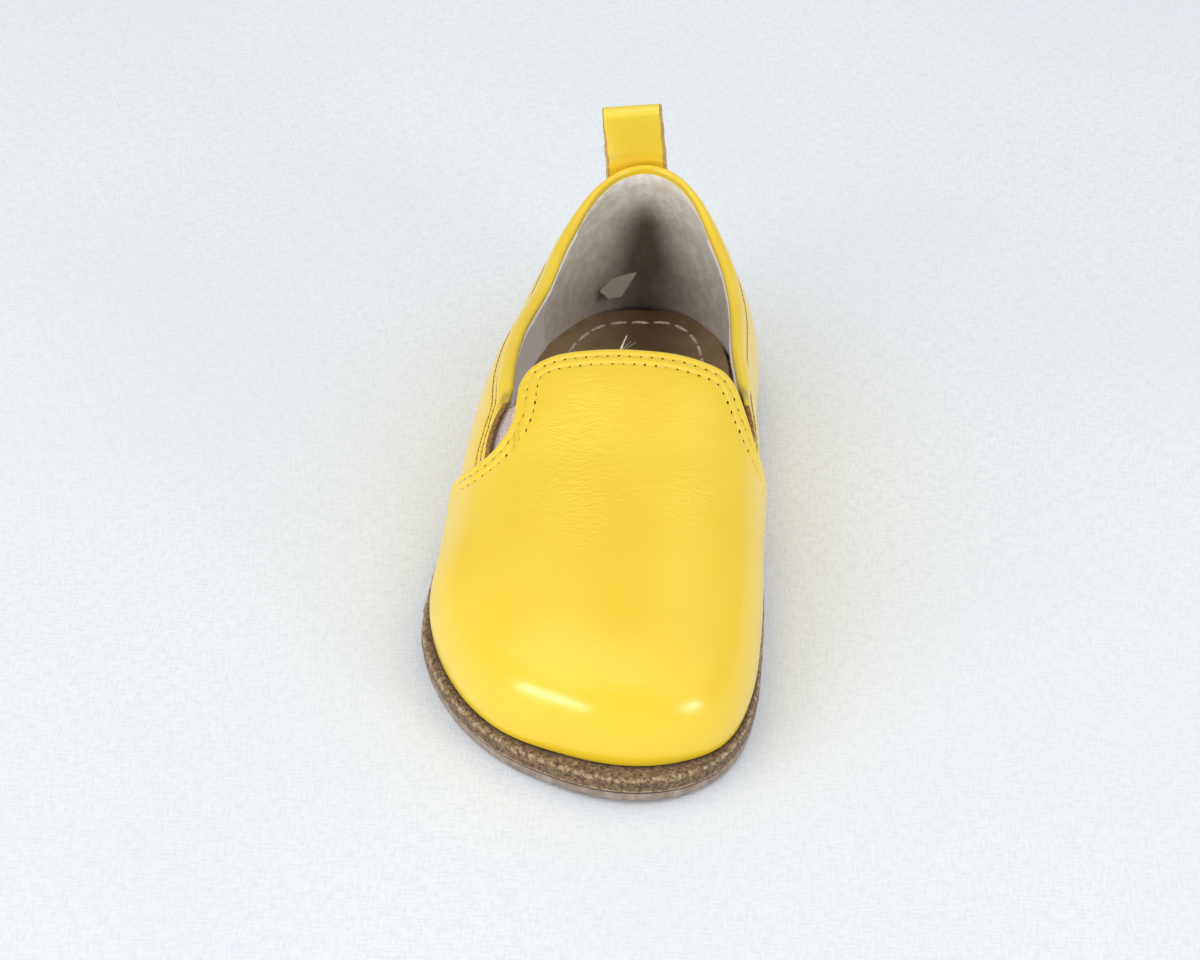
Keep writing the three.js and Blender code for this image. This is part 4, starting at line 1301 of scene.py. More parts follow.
    @cached_property
    def seam_paths(self) -> list[Path]:
        """Paths on the last's surface at the seams' distances from the back edge, with no folded corner."""
        even = self.edge.evenly(PATH_STEP)
        guide = Vamp(self.last, GUIDE_FACETS).sheet()
        inward = unit(np.cross(even.tangents(), guide.normals()[nearest_rows(guide.points, even.points)]))
        rows = [(inset, even.points + inward * inset) for inset in self.sizes.seam_insets]
        return [Path(points[self.edge.distance(points, 0.3) > 0.97 * inset]) for inset, points in rows]


# Quarters


COLLAR = np.array(
    [
        (-25, 29, -21, 29),
        (-17, 31.2, -12.5, 31.4),
        (-11, 33, -6, 33.2),
        (-6.5, 35.4, -1.5, 35.8),
        (-2.5, 38.4, 2.5, 38.6),
        (2.5, 39.3, 7.5, 39.4),
        (20, 39.4, 22, 39.6),
        (42, 39.9, 42, 40),
        (62, 42.9, 62, 43),
        (75, 47.4, 75, 47.4),
        (81, 49.3, 81, 49.3),
    ]
)


def smooth_curve(place: Array, known: Array, values: Array) -> Array:
    """Curve through known places and values (Hermite spans with slopes from the neighbouring rows)."""
    row = np.clip(np.searchsorted(known, place, side="left") - 1, 0, len(known) - 2)
    rise, run = (np.pad(column, 1, mode="edge") for column in (values, known))
    slopes = (rise[2:] - rise[:-2]) / (run[2:] - run[:-2])
    span = known[row + 1] - known[row]
    t = np.clip((place - known[row]) / span, 0.0, 1.0)
    leave = t * (1 - t) ** 2 * slopes[row] * span
    arrive = t * t * (t - 1) * slopes[row + 1] * span
    return lerp(values[row], values[row + 1], t * t * (3 - 2 * t)) + leave + arrive


def collar_height(y: Array, sign: Array) -> Array:
    """Height of the collar, by side."""
    outer_y, outer, inner_y, inner = COLLAR.T
    return np.where(np.asarray(sign) < 0, smooth_curve(y, outer_y, outer), smooth_curve(y, inner_y, inner))


@dataclass(frozen=True)
class QuarterSide:
    """One side: its hidden front end and lean, where it thickens, where the cut edge and the painted shade
    are.

    seam_rows hold, for each row of stitches, pairs of y and distance below the collar.
    """

    front_y: float
    lean: float
    full_from_y: float
    full_to_y: float
    raw_y: float
    shade_y: float
    seam_rows: tuple[tuple[tuple[float, float], ...], ...]


@dataclass(frozen=True)
class HeelShade:
    """Painted shade on the heel's lining: in a hollow that widens downwards and at the lining's foot, with a
    painted shadow by the patch.

    Places are in millimetres, as pairs of a base and a top; strengths are shares of the dark colour.
    """

    hollow: float = 0.92
    hollow_x: float = 4.5
    hollow_z: tuple[float, float] = (12.0, 38.0)
    hollow_width: tuple[float, float] = (15.0, 4.5)
    hollow_base: float = 0.7
    hollow_base_top: float = 24.0
    fade_z: tuple[float, float] = (30.0, 43.0)
    low_z: tuple[float, float] = (9.0, 30.0)
    low_front: float = 0.05
    low_heel: float = 0.25
    # Painted shadow under the patch's lifted lower edge.
    patch_shadow: Ridge = Ridge(0.7, 0.0, 1.6)
    patch_shadow_x: float = -8.2
    patch_shadow_z: float = 13.0

    def share(self, x: Array, z: Array, heel: Array) -> Array:
        """Share of the dark colour at places, where heel is 1 at the heel's back and 0 in front."""
        base, top = self.hollow_z
        spread = lerp(*self.hollow_width, np.clip((z - base) / (top - base), 0.0, 1.0))
        above = lerp(self.hollow_base, 1.0, smooth_step(base, self.hollow_base_top, z))
        hollow = self.hollow * bell(x, self.hollow_x, spread) * (1.0 - smooth_step(*self.fade_z, z)) * above
        low = (1.0 - smooth_step(*self.low_z, z)) * lerp(self.low_front, self.low_heel, heel)
        patch_shadow = self.patch_shadow.at(np.hypot(x - self.patch_shadow_x, z - self.patch_shadow_z))
        return hollow * heel + low + patch_shadow * (heel > 0.8)


@dataclass(frozen=True)
class QuarterSizes:
    """Sizes of the quarters, in millimetres.

    The collar's roll takes up roll_depth below its top; crimp and seam_groove are pressed in below it.
    counter pads the base of the heel out, and patch is the outline of a patch in x and z.
    """

    wall: float = 2.0
    front_wall: float = 1.1
    outer: QuarterSide = QuarterSide(
        front_y=-15.0,
        lean=9.0,
        full_from_y=-3.0,
        full_to_y=3.0,
        raw_y=-3.5,
        shade_y=-2.0,
        seam_rows=(
            ((-15.0, 3.3), (-7.0, 3.3), (-3.0, 4.4), (12.0, 5.2), (78.0, 5.6)),
            ((-14.5, 1.9), (-7.0, 1.9), (-3.0, 3.3), (24.0, 3.7)),
        ),
    )
    inner: QuarterSide = QuarterSide(
        front_y=-11.0,
        lean=8.0,
        full_from_y=2.0,
        full_to_y=8.0,
        raw_y=0.5,
        shade_y=2.8,
        seam_rows=(
            ((-10.5, 3.3), (-2.5, 3.3), (2.0, 4.4), (16.0, 5.2), (78.0, 5.6)),
            ((-10.0, 1.9), (-2.5, 1.9), (2.0, 3.3), (26.0, 3.7)),
        ),
    )
    lean_end_y: float = 24.0
    heel_blend_start_y: float = 20.0
    roll_depth: float = 3.8
    roll_swell: float = 1.5
    heel_swell: float = 1.1
    roll_shift: float = 0.3
    cap_start: float = 0.45
    rim_share: float = 0.12
    raw_rim: float = 0.25
    raw_depth: float = 0.6
    raw_fade: float = 0.5
    fray: float = 0.15
    # Painted shade in the crook where the collar's roll ends at the cut edge.
    shade: float = 0.6
    shade_width: float = 1.7
    wrinkling: float = 0.2
    crimp: Ridge = Ridge(0.12, 4.2, 0.7)
    seam_groove: Ridge = Ridge(0.12, 0.0, 0.4)
    lining: float = 0.35
    lining_drop: float = 1.6
    lining_gap: float = 0.03
    front_gap: float = 1.65
    counter: float = 1.6
    front_lining: float = 0.35
    front_lining_y: float = 62.0
    wave: float = 0.1
    patch: tuple[tuple[float, float], ...] = (
        (-9.0, 14.2),
        (-5.6, 16.6),
        (2.2, 18.2),
        (-2.6, 10.6),
        (-6.0, 10.6),
    )
    patch_fade: float = 1.0
    columns: int = 330
    wall_rows: int = 40
    rim_rows: int = 14
    tuck_rows: int = 5
    lining_columns: int = 400
    lining_rows: int = 70

    def side(self, side: Side) -> QuarterSide:
        """Sizes of one side."""
        return self.outer if side is Side.OUTER else self.inner


@dataclass
class Quarters:
    """The wall round the heel, from the vamp's outer seam to its inner seam."""

    last: Last
    sizes: QuarterSizes

    def side_value(self, name: str, sign: Array) -> Array:
        """One of the two sides' sizes, by sign."""
        return np.where(sign < 0, getattr(self.sizes.outer, name), getattr(self.sizes.inner, name))

    def side_of(self, x: Array) -> Array:
        """Sign of the side at an x."""
        return np.where(x < self.last.sizes.heel_axis_x, -1.0, 1.0)

    def lean_y(self, foot_y: Array, z: Array, rise: Array, sign: Array) -> Array:
        """y of a column at a height: it leans forward near the seam and follows the heel's back."""
        s = self.sizes
        front_y = self.side_value("front_y", sign)
        front = np.clip((s.lean_end_y - foot_y) / (s.lean_end_y - front_y), 0, 1)
        heel = np.clip((foot_y - s.heel_blend_start_y) / (self.last.heel_tip - s.heel_blend_start_y), 0, 1)
        lean = self.side_value("lean", sign) * front**2 * rise
        return foot_y - lean + heel**2 * (self.last.heel_back(z) - self.last.heel_tip)

    def top(self, foot_y: Array, sign: Array) -> Array:
        """Height at which a column meets the collar."""
        height = collar_height(foot_y, sign)
        for _ in range(8):
            height = collar_height(self.lean_y(foot_y, height, 1.0, sign), sign)
        return height

    def wall_point(self, angle: Array, z: Array, waist: Array, top: Array) -> Array:
        """Point of a column at a height."""
        sign = np.where(angle < 0, -1.0, 1.0)
        foot_y = self.last.widest(angle)[..., 1]
        y = self.lean_y(foot_y, z, (z - waist) / (top - waist), sign)
        return np.stack([self.last.wall_x(y, z, sign), y, z], axis=-1)

    def sheet(self, columns: int, wall_rows: int, rim_rows: int, drop: float = 0.0) -> Sheet:
        """The wall as a sheet, with rows for the tuck, the wall and the rim.

        Args:
            columns: columns round the heel.
            wall_rows: rows up the wall.
            rim_rows: rows over the rolled rim.
            drop: how far below the collar the sheet ends.

        Returns:
            The sheet, with "depth" below the collar, "foot" and "full", 1 where the wall is full.
        """
        s = self.sizes
        start = self.last.angle_at(np.array(s.inner.front_y), 1)
        end = self.last.angle_at(np.array(s.outer.front_y), -1)
        angle = np.linspace(float(start), float(end), columns + 1)[:, None]
        sign = np.where(angle < 0, -1.0, 1.0)
        foot_y = self.last.widest(angle)[..., 1]
        waist = self.last.waist_z(foot_y)
        top = self.top(foot_y, sign)
        turn = np.linspace(0.0, np.pi / 2, rim_rows + 1)[1:]
        rim = s.roll_depth * (1.0 - np.sin(turn))
        share = np.linspace(0.0, 1.0, wall_rows + 1)[None, :]
        wall_z = lerp(waist, top - s.roll_depth - drop, share)
        z = np.hstack([wall_z, top - rim[None, :] - drop])
        above = self.wall_point(np.broadcast_to(angle, z.shape), z, waist, top)
        drops = np.linspace(1.0, 0.0, s.tuck_rows + 1)[None, :-1] * np.ones_like(angle)
        under = self.last.tuck(np.broadcast_to(angle, drops.shape), drops)
        points = np.concatenate([under, above], axis=1)
        depth = np.broadcast_to(top, points.shape[:2]) - points[..., 2]
        foot = np.zeros(points.shape[:2])
        foot[:, 0] = 1.0
        side = self.side_of(points[..., 0])
        low = self.side_value("full_from_y", side)
        high = self.side_value("full_to_y", side)
        full = smooth_step(0.0, 1.0, (points[..., 1] - low) / (high - low))
        return grid_sheet(points, depth=depth, foot=foot, full=full)

    def wall(self) -> Sheet:
        """The quarters as a closed wall with a rolled collar.

        The roll swells round the collar and tapers off above the gores, where the edge is raw.
        """
        s = self.sizes
        sheet = self.sheet(s.columns, s.wall_rows, s.rim_rows)
        full = sheet.values["full"]
        depth = sheet.values["depth"]
        rise = np.clip(1.0 - depth / s.roll_depth, 0.0, 1.0)
        heel = smooth_step(60.0, 76.0, sheet.points[:, 1])
        plump = full * smooth_step(0.0, 0.4, rise)
        roll = 1.0 + (lerp(s.roll_swell, s.heel_swell, heel) - 1.0) * plump
        cap = np.sqrt(np.maximum(0.0, 1.0 - np.clip((rise - s.cap_start) / (1.0 - s.cap_start), 0, 1) ** 2))
        swell = lerp(np.minimum(1.0, cap + s.raw_rim), roll * lerp(s.rim_share, 1.0, cap), full)
        shift = s.roll_shift * plump * (1.0 - heel)
        wall = lerp(s.front_wall, s.wall, full)
        x, y = sheet.points[:, 0], sheet.points[:, 1]
        side = self.side_of(x)
        raw_y = self.side_value("raw_y", side)
        raw = smooth_step(raw_y + s.raw_fade, raw_y - s.raw_fade, y) * (depth < s.raw_depth)
        # Painted shade in the crook where the collar's roll ends at the cut edge.
        shade = s.shade * bell(y, self.side_value("shade_y", side), s.shade_width)
        sheet.values["raw"] = raw
        sheet.values["shade"] = shade * smooth_step(2.4, 1.2, depth)
        sheet.values["crinkle"] = s.wrinkling * full
        seams = np.zeros_like(depth)
        for edge in Side:
            for row in s.side(edge).seam_rows:
                row_y, drop = np.array(row).T
                inside = (y > row_y[0]) & (y < row_y[-1]) & (side == edge.value)
                seams += s.seam_groove.at(depth - np.interp(y, row_y, drop)) * inside
        fray = s.fray * lattice_noise(sheet.points, 0.7, 5) * raw
        outside = wall / 2 * (swell - 1) + shift - s.crimp.at(depth) * full - seams + fray
        return sheet.thickened(outside, -wall / 2 * (swell + 1) + shift, level_foot=True)

    def lining(self) -> Sheet:
        """The lining: a thin closed sheet inside the wall, padded out at the base of the heel."""
        s = self.sizes
        sheet = self.sheet(s.lining_columns, s.lining_rows, 1, s.lining_drop)
        full = sheet.values["full"]
        x, y, z = sheet.points.T
        heel = smooth_step(45.0, 80.0, y)
        ragged = y + 0.8 * rough_noise(sheet.points, 1.6, 3, 41)
        front = smooth_step(s.front_lining_y + 0.3, s.front_lining_y - 0.3, ragged)
        inner_side = (self.side_of(x) > 0) * smooth_step(75.0, 60.0, y)
        sheet.values["front"] = front
        sheet.values["edge"] = smooth_step(2.5, 2.1, sheet.values["depth"]) * inner_side * full
        sheet.values["patch"] = self.patch_share(x, z) * (y > 70)
        # Painted shade deep in the heel and low on the lining, less on the front lining.
        sheet.values["dim"] = np.clip(HeelShade().share(x, z, heel) * (1.0 - 0.7 * front), 0.0, 0.9)
        behind = lerp(s.front_wall + s.front_gap, s.wall + s.lining_gap, full)
        counter = s.counter * heel * smooth_step(34.0, 18.0, z)
        padding = np.maximum(s.front_lining * front + s.wave * lattice_noise(sheet.points, 6.0, 44), 0.0)
        return sheet.thickened(-behind, -behind - s.lining - counter - padding, level_foot=True)

    def patch_share(self, x: Array, z: Array) -> Array:
        """Soft share of 1 inside the patch on the heel's lining and 0 outside it."""
        corners = np.array(self.sizes.patch)
        inside = np.full(x.shape, np.inf)
        for start, end in zip(corners, np.roll(corners, -1, axis=0)):
            along = unit(end - start)
            inside = np.minimum(inside, (x - start[0]) * along[1] - (z - start[1]) * along[0])
        return smooth_step(-self.sizes.patch_fade, self.sizes.patch_fade, inside)

    def collar_path(self, row: tuple[tuple[float, float], ...], sign: int) -> Path:
        """Path along the outside of one side, through pairs of y and distance below the collar."""
        row_y, drop = np.array(row).T
        y = np.linspace(row_y[0], row_y[-1], 160)
        z = collar_height(y, sign) - np.interp(y, row_y, drop)
        return Path(np.stack([self.last.wall_x(y, z, np.full_like(y, sign)), y, z], axis=-1))


# Gores


@dataclass(frozen=True)
class GoreSizes:
    """One elastic gore: the two ends of its slot's middle line, in millimetres."""

    name: str
    sign: int
    top: tuple[float, float]
    bottom: tuple[float, float]
    half_width: float = 5.5
    thickness: float = 1.0
    tail: float = 1.15
    depth: float = 1.7
    inset: float = 0.1
    rib: float = 0.08
    rib_pitch: float = 1.15
    cross_rib: float = 0.025
    cross_pitch: float = 0.8


GORES = (
    GoreSizes("gore_lateral", -1, (-4.2, 38.4), (-17.5, 32.2)),
    GoreSizes("gore_medial", 1, (0.8, 38.0), (-12.5, 31.8)),
)


@dataclass
class Gore:
    """A ribbed elastic panel inside the wall, behind its slot."""

    last: Last
    sizes: GoreSizes

    def wall(self) -> Sheet:
        """The panel as a closed sheet whose outside has ribs along the slot."""
        s = self.sizes
        top, bottom = np.array(s.top), np.array(s.bottom)
        along = bottom - top
        widthwise = unit(np.array([-along[1], along[0]]))
        spread = s.sign * s.half_width * np.linspace(1.0, -1.0, 61)[:, None]
        down = s.tail * np.linspace(0.0, 1.0, 49)[None, :]
        y = top[0] + along[0] * down + widthwise[0] * spread
        z = top[1] + along[1] * down + widthwise[1] * spread
        x = self.last.wall_x(y, z, np.full_like(y, s.sign))
        length = np.linalg.norm(along) * s.tail
        ribs = s.rib * np.cos(2 * np.pi * spread / s.rib_pitch)
        ribs = ribs + s.cross_rib * np.cos(2 * np.pi * down * length / s.cross_pitch)
        outside = ribs - s.depth - s.inset
        return grid_sheet(np.stack([x, y, z], axis=-1)).thickened(outside.ravel(), -s.depth - s.thickness)


# Sole


@dataclass
class Layer:
    """One layer of the sole: stacked outlines, that stand in by a ledge, with a top and a bottom face."""

    last: Last
    stations: int
    strips: int
    ledge: Callable[[Array], Array] = np.zeros_like

    def raised(self, plan: Array, z: Array) -> Array:
        """Plan points at a height over the sole's underside."""
        height = z + self.last.lift(plan[..., 0], plan[..., 1])
        return np.concatenate([plan, height[..., None]], axis=-1)

    def edge(self, angle: Array, inset: Array, z: Array) -> Array:
        """Points of the layer's edge."""
        return self.raised(self.last.inset_edge(angle, inset + self.ledge(angle)), z)

    def sheet(self, profile: Array) -> Sheet:
        """The closed layer.

        Args:
            profile: rows of inset and height, from the bottom face to the top face.

        Returns:
            The sheet, with "rise", the share of the profile's height.
        """
        half = np.linspace(0.0, 180.0, self.stations + 1)
        inset, z = profile[:, 0], profile[:, 1]
        rise = (z - z[0]) / (z[-1] - z[0])

        def side(angle: Array) -> Sheet:
            """One side of the edge."""
            grid = np.broadcast_to(angle[:, None], (len(angle), len(profile)))
            heights = np.broadcast_to(z, grid.shape)
            points = self.edge(grid, np.broadcast_to(inset, grid.shape), heights)
            return grid_sheet(points, rise=rise[None, :])

        def face(row: int, order: int) -> Sheet:
            """Top or bottom face."""
            fill = np.full_like(half, inset[row])
            height = np.full_like(half, z[row])
            outer = self.edge(-half, fill, height)[..., :2]
            inner = self.edge(half, fill, height)[..., :2]
            share = np.linspace(0.0, 1.0, self.strips + 1)[::order, None, None]
            plan = lerp(outer[None], inner[None], share)
            return grid_sheet(self.raised(plan, np.full(plan.shape[:2], z[row])), rise=rise[row])

        return joined([side(-half), side(half[::-1]), face(len(profile) - 1, -1), face(0, 1)]).welded()


def rounded_profile(inset: float, low: float, high: float, base: float, crown: float, rows: int) -> Array:
    """Profile of a layer's edge: upright, with quarter-circle-like corners.

    Args:
        inset: how far in the upright stands.
        low: height of the bottom face.
        high: height of the top face.
        base: radius at the bottom.
        crown: radius at the top.
        rows: rows in each part.

    Returns:
        Rows of inset and height, from the bottom up.
    """
    turn = np.linspace(0.0, np.pi / 2, rows)
    bottom = np.stack([inset + base * (1 - np.sin(turn)), low + base * (1 - np.cos(turn))], 1)
    top = np.stack([inset + crown * (1 - np.cos(turn)), high - crown * (1 - np.sin(turn))], 1)
    upright = np.linspace(low + base, high - crown, rows + 1)[1:-1]
    middle = np.stack([np.full_like(upright, inset), upright], 1)
    return np.vstack([bottom, middle, top])


@dataclass(frozen=True)
class SoleSizes:
    """Edges, wear and painted light of the layers, in millimetres; the top rim's painted highlight and wear,
    the paler band near the bottom and the glue line stand over shares of a layer's height, the crease's
    painted shade over a distance from the upper's foot.
    """

    outsole_inset: float = 0.5
    outsole_radii: tuple[float, float] = (0.4, 0.15)
    midsole_inset: float = 0.1
    midsole_radii: tuple[float, float] = (0.5, 1.4)
    insole_radii: tuple[float, float] = (0.2, 0.7)
    midsole_ledge: tuple[float, float, float] = (1.9, 7.1, 0.4)
    nap: float = 0.14
    nap_grain: float = 2.4
    nap_base: float = 0.08
    # Painted highlight and wear on the rounded top corner, then a paler band near the bottom.
    rim_highlight_and_wear: Ridge = Ridge(0.7, 0.84, 0.2)
    pale_foot_band: Ridge = Ridge(1.0, 0.12, 0.06)
    glue_foot: Ridge = Ridge(0.9, 0.03, 0.07)
    # Painted shade in the crease under the upper's foot.
    crease_shade: Ridge = Ridge(0.95, 0.0, 1.7)
    insole_wave: float = 0.12
    insole_wear: Ridge = Ridge(0.85, 6.0, 15.0)
    insole_seam_inset: float = 6.2


@dataclass
class Sole:
    """Outsole, midsole and insole."""

    last: Last
    sizes: SoleSizes

    def outsole(self) -> Sheet:
        """Thin rubber layer."""
        s = self.sizes
        profile = rounded_profile(s.outsole_inset, 0.0, self.last.sizes.outsole, *s.outsole_radii, 3)
        return Layer(self.last, 300, 8).sheet(profile)

    def midsole(self) -> Sheet:
        """Rough leather layer: its edge and ledge are made uneven by layered noise along the normals."""
        s = self.sizes
        base = self.last.midsole_base
        top = base + self.last.sizes.midsole
        ledge = np.arange(*s.midsole_ledge)
        ledge = np.stack([ledge, np.full_like(ledge, top)], 1)
        edge = rounded_profile(s.midsole_inset, base, top, *s.midsole_radii, 8)
        sheet = Layer(self.last, 700, 4).sheet(np.vstack([edge, ledge]))
        rise = sheet.values["rise"]
        rough = rough_noise(sheet.points, s.nap_grain, 4, 11) * smooth_step(0.02, 0.2, rise)
        sheet.points = sheet.points + sheet.normals() * (s.nap * rough - s.nap_base)[:, None]
        # Painted highlight and wear on the top rim, and a paler band near the bottom.
        sheet.values["worn"] = s.rim_highlight_and_wear.at(rise) + s.pale_foot_band.at(rise)
        # Painted shade in the crease where the upper stands on the ledge.
        foot = Path(self.last.foot(np.linspace(-180.0, 180.0, 721)))
        crease = s.crease_shade.at(foot.distance(sheet.points[:, :2], 0.8)) * (rise > 0.9)
        sheet.values["glue"] = np.maximum(s.glue_foot.at(rise), crease)
        return sheet

    def insole(self) -> Sheet:
        """Brown leather footbed with a soft edge."""
        s = self.sizes
        base = self.last.upper_base
        profile = rounded_profile(0.0, base, base + self.last.sizes.insole, *s.insole_radii, 5)
        sheet = Layer(self.last, 240, 60, self.last.insole_ledge).sheet(profile)
        wave = lattice_noise(sheet.points, 9.0, 21) * (sheet.values["rise"] > 0.99)
        sheet.points[:, 2] += s.insole_wave * (wave - 1.0)
        sheet.values["middle"] = s.insole_wear.at(sheet.points[:, 0])
        return sheet

    def insole_seam(self) -> Path:
        """Path of the running stitch round the insole, near its edge."""
        angle = np.linspace(-150.0, 150.0, 420)
        plan = self.last.inset_edge(angle, self.last.insole_ledge(angle) + self.sizes.insole_seam_inset)
        z = self.last.upper_base + self.last.sizes.insole + self.last.lift(plan[:, 0], plan[:, 1])
        return Path(np.concatenate([plan, z[:, None]], axis=-1))


# Pull tab


@dataclass(frozen=True)
class TabSizes:
    """Pull tab, in millimetres."""

    width: float = 14.0
    thickness: float = 1.2
    clearance: float = 0.55
    top: float = 62.2
    bottom: float = 34.0
    centre_x: float = 2.4
    fold_gap: float = 1.4
    foot_gap: float = 0.4
    lean: float = 0.1
    tilt: float = 0.12
    flat_from_z: float = 44.0
    collar_z: float = 49.3
    teeth: float = 0.06
    tooth_pitch: float = 1.15
    waviness: float = 0.08
    fray: float = 0.12
    edge_share: float = 0.45
    crossing_shade: float = 0.1
    seam_inset: float = 2.2
    seam_top: float = 44.0
    seam_base: float = 36.2
    columns: int = 44
    leg_rows: int = 70
    fold_rows: int = 18


@dataclass
class PullTab:
    """A strip folded over, both ends lying against the back of the heel."""

    last: Last
    sizes: TabSizes

    def middle_line(self) -> Array:
        """Distance behind the heel and height of the strip's middle, from the outer end over the fold."""
        s = self.sizes
        radius = (s.thickness + s.fold_gap) / 2.0
        fold_z = s.top - s.thickness / 2.0 - radius
        leg_z = np.linspace(s.bottom, fold_z, s.leg_rows, endpoint=False)
        spread = s.thickness + lerp(s.foot_gap, s.fold_gap, smooth_step(s.bottom, s.collar_z, leg_z))
        turn = np.linspace(0.0, np.pi, s.fold_rows + 1)
        fold = np.stack([radius * (1 + np.cos(turn)), fold_z + radius * np.sin(turn)], 1)
        outer = np.stack([spread, leg_z], 1)
        inner = np.stack([np.zeros_like(leg_z), leg_z], 1)[::-1]
        return np.vstack([outer, fold, inner])

    def wall(self) -> Sheet:
        """The strip as a closed sheet with rough, serrated sides."""
        s = self.sizes
        path = self.middle_line()
        back, z = path[None, :, 0], path[None, :, 1]
        share = np.linspace(0.5, -0.5, s.columns + 1)[:, None]
        run = Path(path).run[None, :]
        teeth = s.teeth * np.abs((run / s.tooth_pitch) % 1.0 * 2.0 - 1.0) + s.waviness * np.sin(run * 1.1)
        spread = (s.width - 2.0 * teeth * (np.abs(share) > 0.46)) * share
        x = s.centre_x + spread
        free = smooth_step(s.flat_from_z, s.top, z)
        low_z = np.broadcast_to(np.minimum(z, s.flat_from_z), x.shape)
        bent = self.last.heel_outside(x, low_z)
        flat = self.last.heel_outside(np.array([[s.centre_x]]), np.array([[s.flat_from_z]]))
        y = lerp(bent, flat, free) + s.clearance + s.thickness / 2.0 + back
        lean = s.lean * np.maximum(0.0, z - s.flat_from_z)
        height = z + s.tilt * spread * free
        points = np.stack([x - lean, np.broadcast_to(y, x.shape), height], axis=-1)
        edge = np.clip((np.abs(share) - 0.455) / 0.045, 0, 1) * np.ones_like(run)
        # Painted shade line on the tab's outer leg where it lies over the collar's roll.
        crossing = s.crossing_shade * bell(z, s.collar_z + 0.6, 1.0) * (back < s.thickness)
        sheet = grid_sheet(points, raw=edge, crinkle=0.15, shade=crossing)
        cap = lerp(s.edge_share, 1.0, np.sqrt(np.maximum(0.0, 1.0 - sheet.values["raw"] ** 2)))
        fray = s.fray * lattice_noise(sheet.points, 0.8, 31) * sheet.values["raw"]
        half = s.thickness / 2.0
        return sheet.thickened(half * cap + fray, -half * cap + fray)

    def seam_path(self) -> Path:
        """U-shaped row of stitches on the outer leg, that fastens the strip to the heel."""
        s = self.sizes
        half = s.width / 2.0 - s.seam_inset
        corners = [(-half, s.seam_top), (-half, s.seam_base), (half, s.seam_base), (half, s.seam_top)]
        x, z = Path(np.array(corners)).evenly(0.5).points.T
        y = self.last.heel_outside(s.centre_x + x, np.minimum(z, s.flat_from_z))
        return Path(np.stack([s.centre_x + x, y + s.clearance + 2.0 * s.thickness + s.foot_gap, z], axis=-1))


# Studio


@dataclass(frozen=True)
class Lamp:
    """An area light: its place, what it faces, its width and height in metres, and its watts."""

    name: str
    place: tuple[float, float, float]
    aim: tuple[float, float, float]
    size: tuple[float, float]
    power: float


TOE = (0.01, -0.08, 0.02)
LAMPS = (
    Lamp("key", place=(-0.9, -0.5, 1.7), aim=(0.0, 0.0, 0.02), size=(2.1, 2.1), power=11.7),
    Lamp("fill", place=(0.9, -0.3, 1.6), aim=(0.0, 0.0, 0.02), size=(2.2, 2.2), power=8.8),
    Lamp("toe_left", place=(-0.55, -0.64, 0.145), aim=TOE, size=(0.52, 0.1), power=2.1),
    Lamp("toe_right", place=(0.64, -0.55, 0.21), aim=TOE, size=(0.24, 0.13), power=1.2),
)


@dataclass(frozen=True)
class Studio:
    """Plain pale floor, soft lights and the camera, in metres and millimetres of lens."""

    place: tuple[float, float, float] = (0.03881, -0.54541, 0.42704)
    target: tuple[float, float, float] = (-0.0005, -0.008, 0.022)
    lens: float = 91.9
    sensor: float = 36.0
    clip_end: float = 20.0
    floor_half: float = 1.6
    world_colour: Colour = (0.96, 0.98, 1.0, 1.0)
    world_strength: float = 0.55

    def camera(self) -> None:
        """Camera at the photograph's place over the shoe, turned to it."""
        data = bpy.data.cameras.new("camera")
        data.lens = self.lens
        data.sensor_width = self.sensor
        data.clip_end = self.clip_end
        bpy.context.scene.camera = self.aimed(data, self.place, self.target)

    @staticmethod
    def aimed(data: bpy.types.ID, place: tuple[float, ...], target: tuple[float, ...]) -> bpy.types.Object:
        """Puts a camera or light at a place, turned to a target."""
        thing = bpy.data.objects.new(data.name, data)
        thing.location = place
        thing.rotation_euler = (Vector(target) - Vector(place)).to_track_quat("-Z", "Y").to_euler()
        bpy.context.scene.collection.objects.link(thing)
        return thing

    def floor(self) -> None:
        """Pale cloth-covered floor."""
        half = self.floor_half
        mesh = bpy.data.meshes.new("floor")
        corners = [(-half, -half, 0), (half, -half, 0), (half, half, 0), (-half, half, 0)]
        mesh.from_pydata(corners, [], [(0, 1, 2, 3)])
        graph = Graph("floor_cloth")
        weave = graph.math(
            "ADD",
            graph.noise(0.6, 2.0, 0.5, graph.stretched(1.0, 0.2, 1.0)),
            graph.noise(0.6, 2.0, 0.5, graph.stretched(0.2, 1.0, 1.0)),
        )
        soft = graph.ramp(graph.noise(120.0, 2.0), 0.3, 0.7)
        tone = graph.mix(soft, srgb(248, 251, 254), srgb(243, 247, 251))
        tone = graph.mix(graph.ramp(weave, 0.75, 1.15), srgb(236, 241, 246), tone)
        graph.bump((weave, 0.08))
        mesh.materials.append(graph.finish(tone, 0.95))
        floor = bpy.data.objects.new("floor", mesh)
        bpy.context.scene.collection.objects.link(floor)

    def light(self, lamp: Lamp) -> None:
        """Adds a rectangular area light, turned to what it lights."""
        data = bpy.data.lights.new(lamp.name, "AREA")
        data.shape = "RECTANGLE"
        data.size, data.size_y = lamp.size
        data.energy = lamp.power
        self.aimed(data, lamp.place, lamp.aim).visible_camera = False

    def build(self) -> None:
        """Sets up floor, camera, lights and surroundings."""
        self.floor()
        self.camera()
        for lamp in LAMPS:
            self.light(lamp)
        world = bpy.data.worlds.new("studio")
        world.use_nodes = True
        background = world.node_tree.nodes["Background"]
        background.inputs["Color"].default_value = self.world_colour
        background.inputs["Strength"].default_value = self.world_strength
        scene = bpy.context.scene
        scene.world = world
        scene.view_settings.view_transform = "Standard"


# The shoe


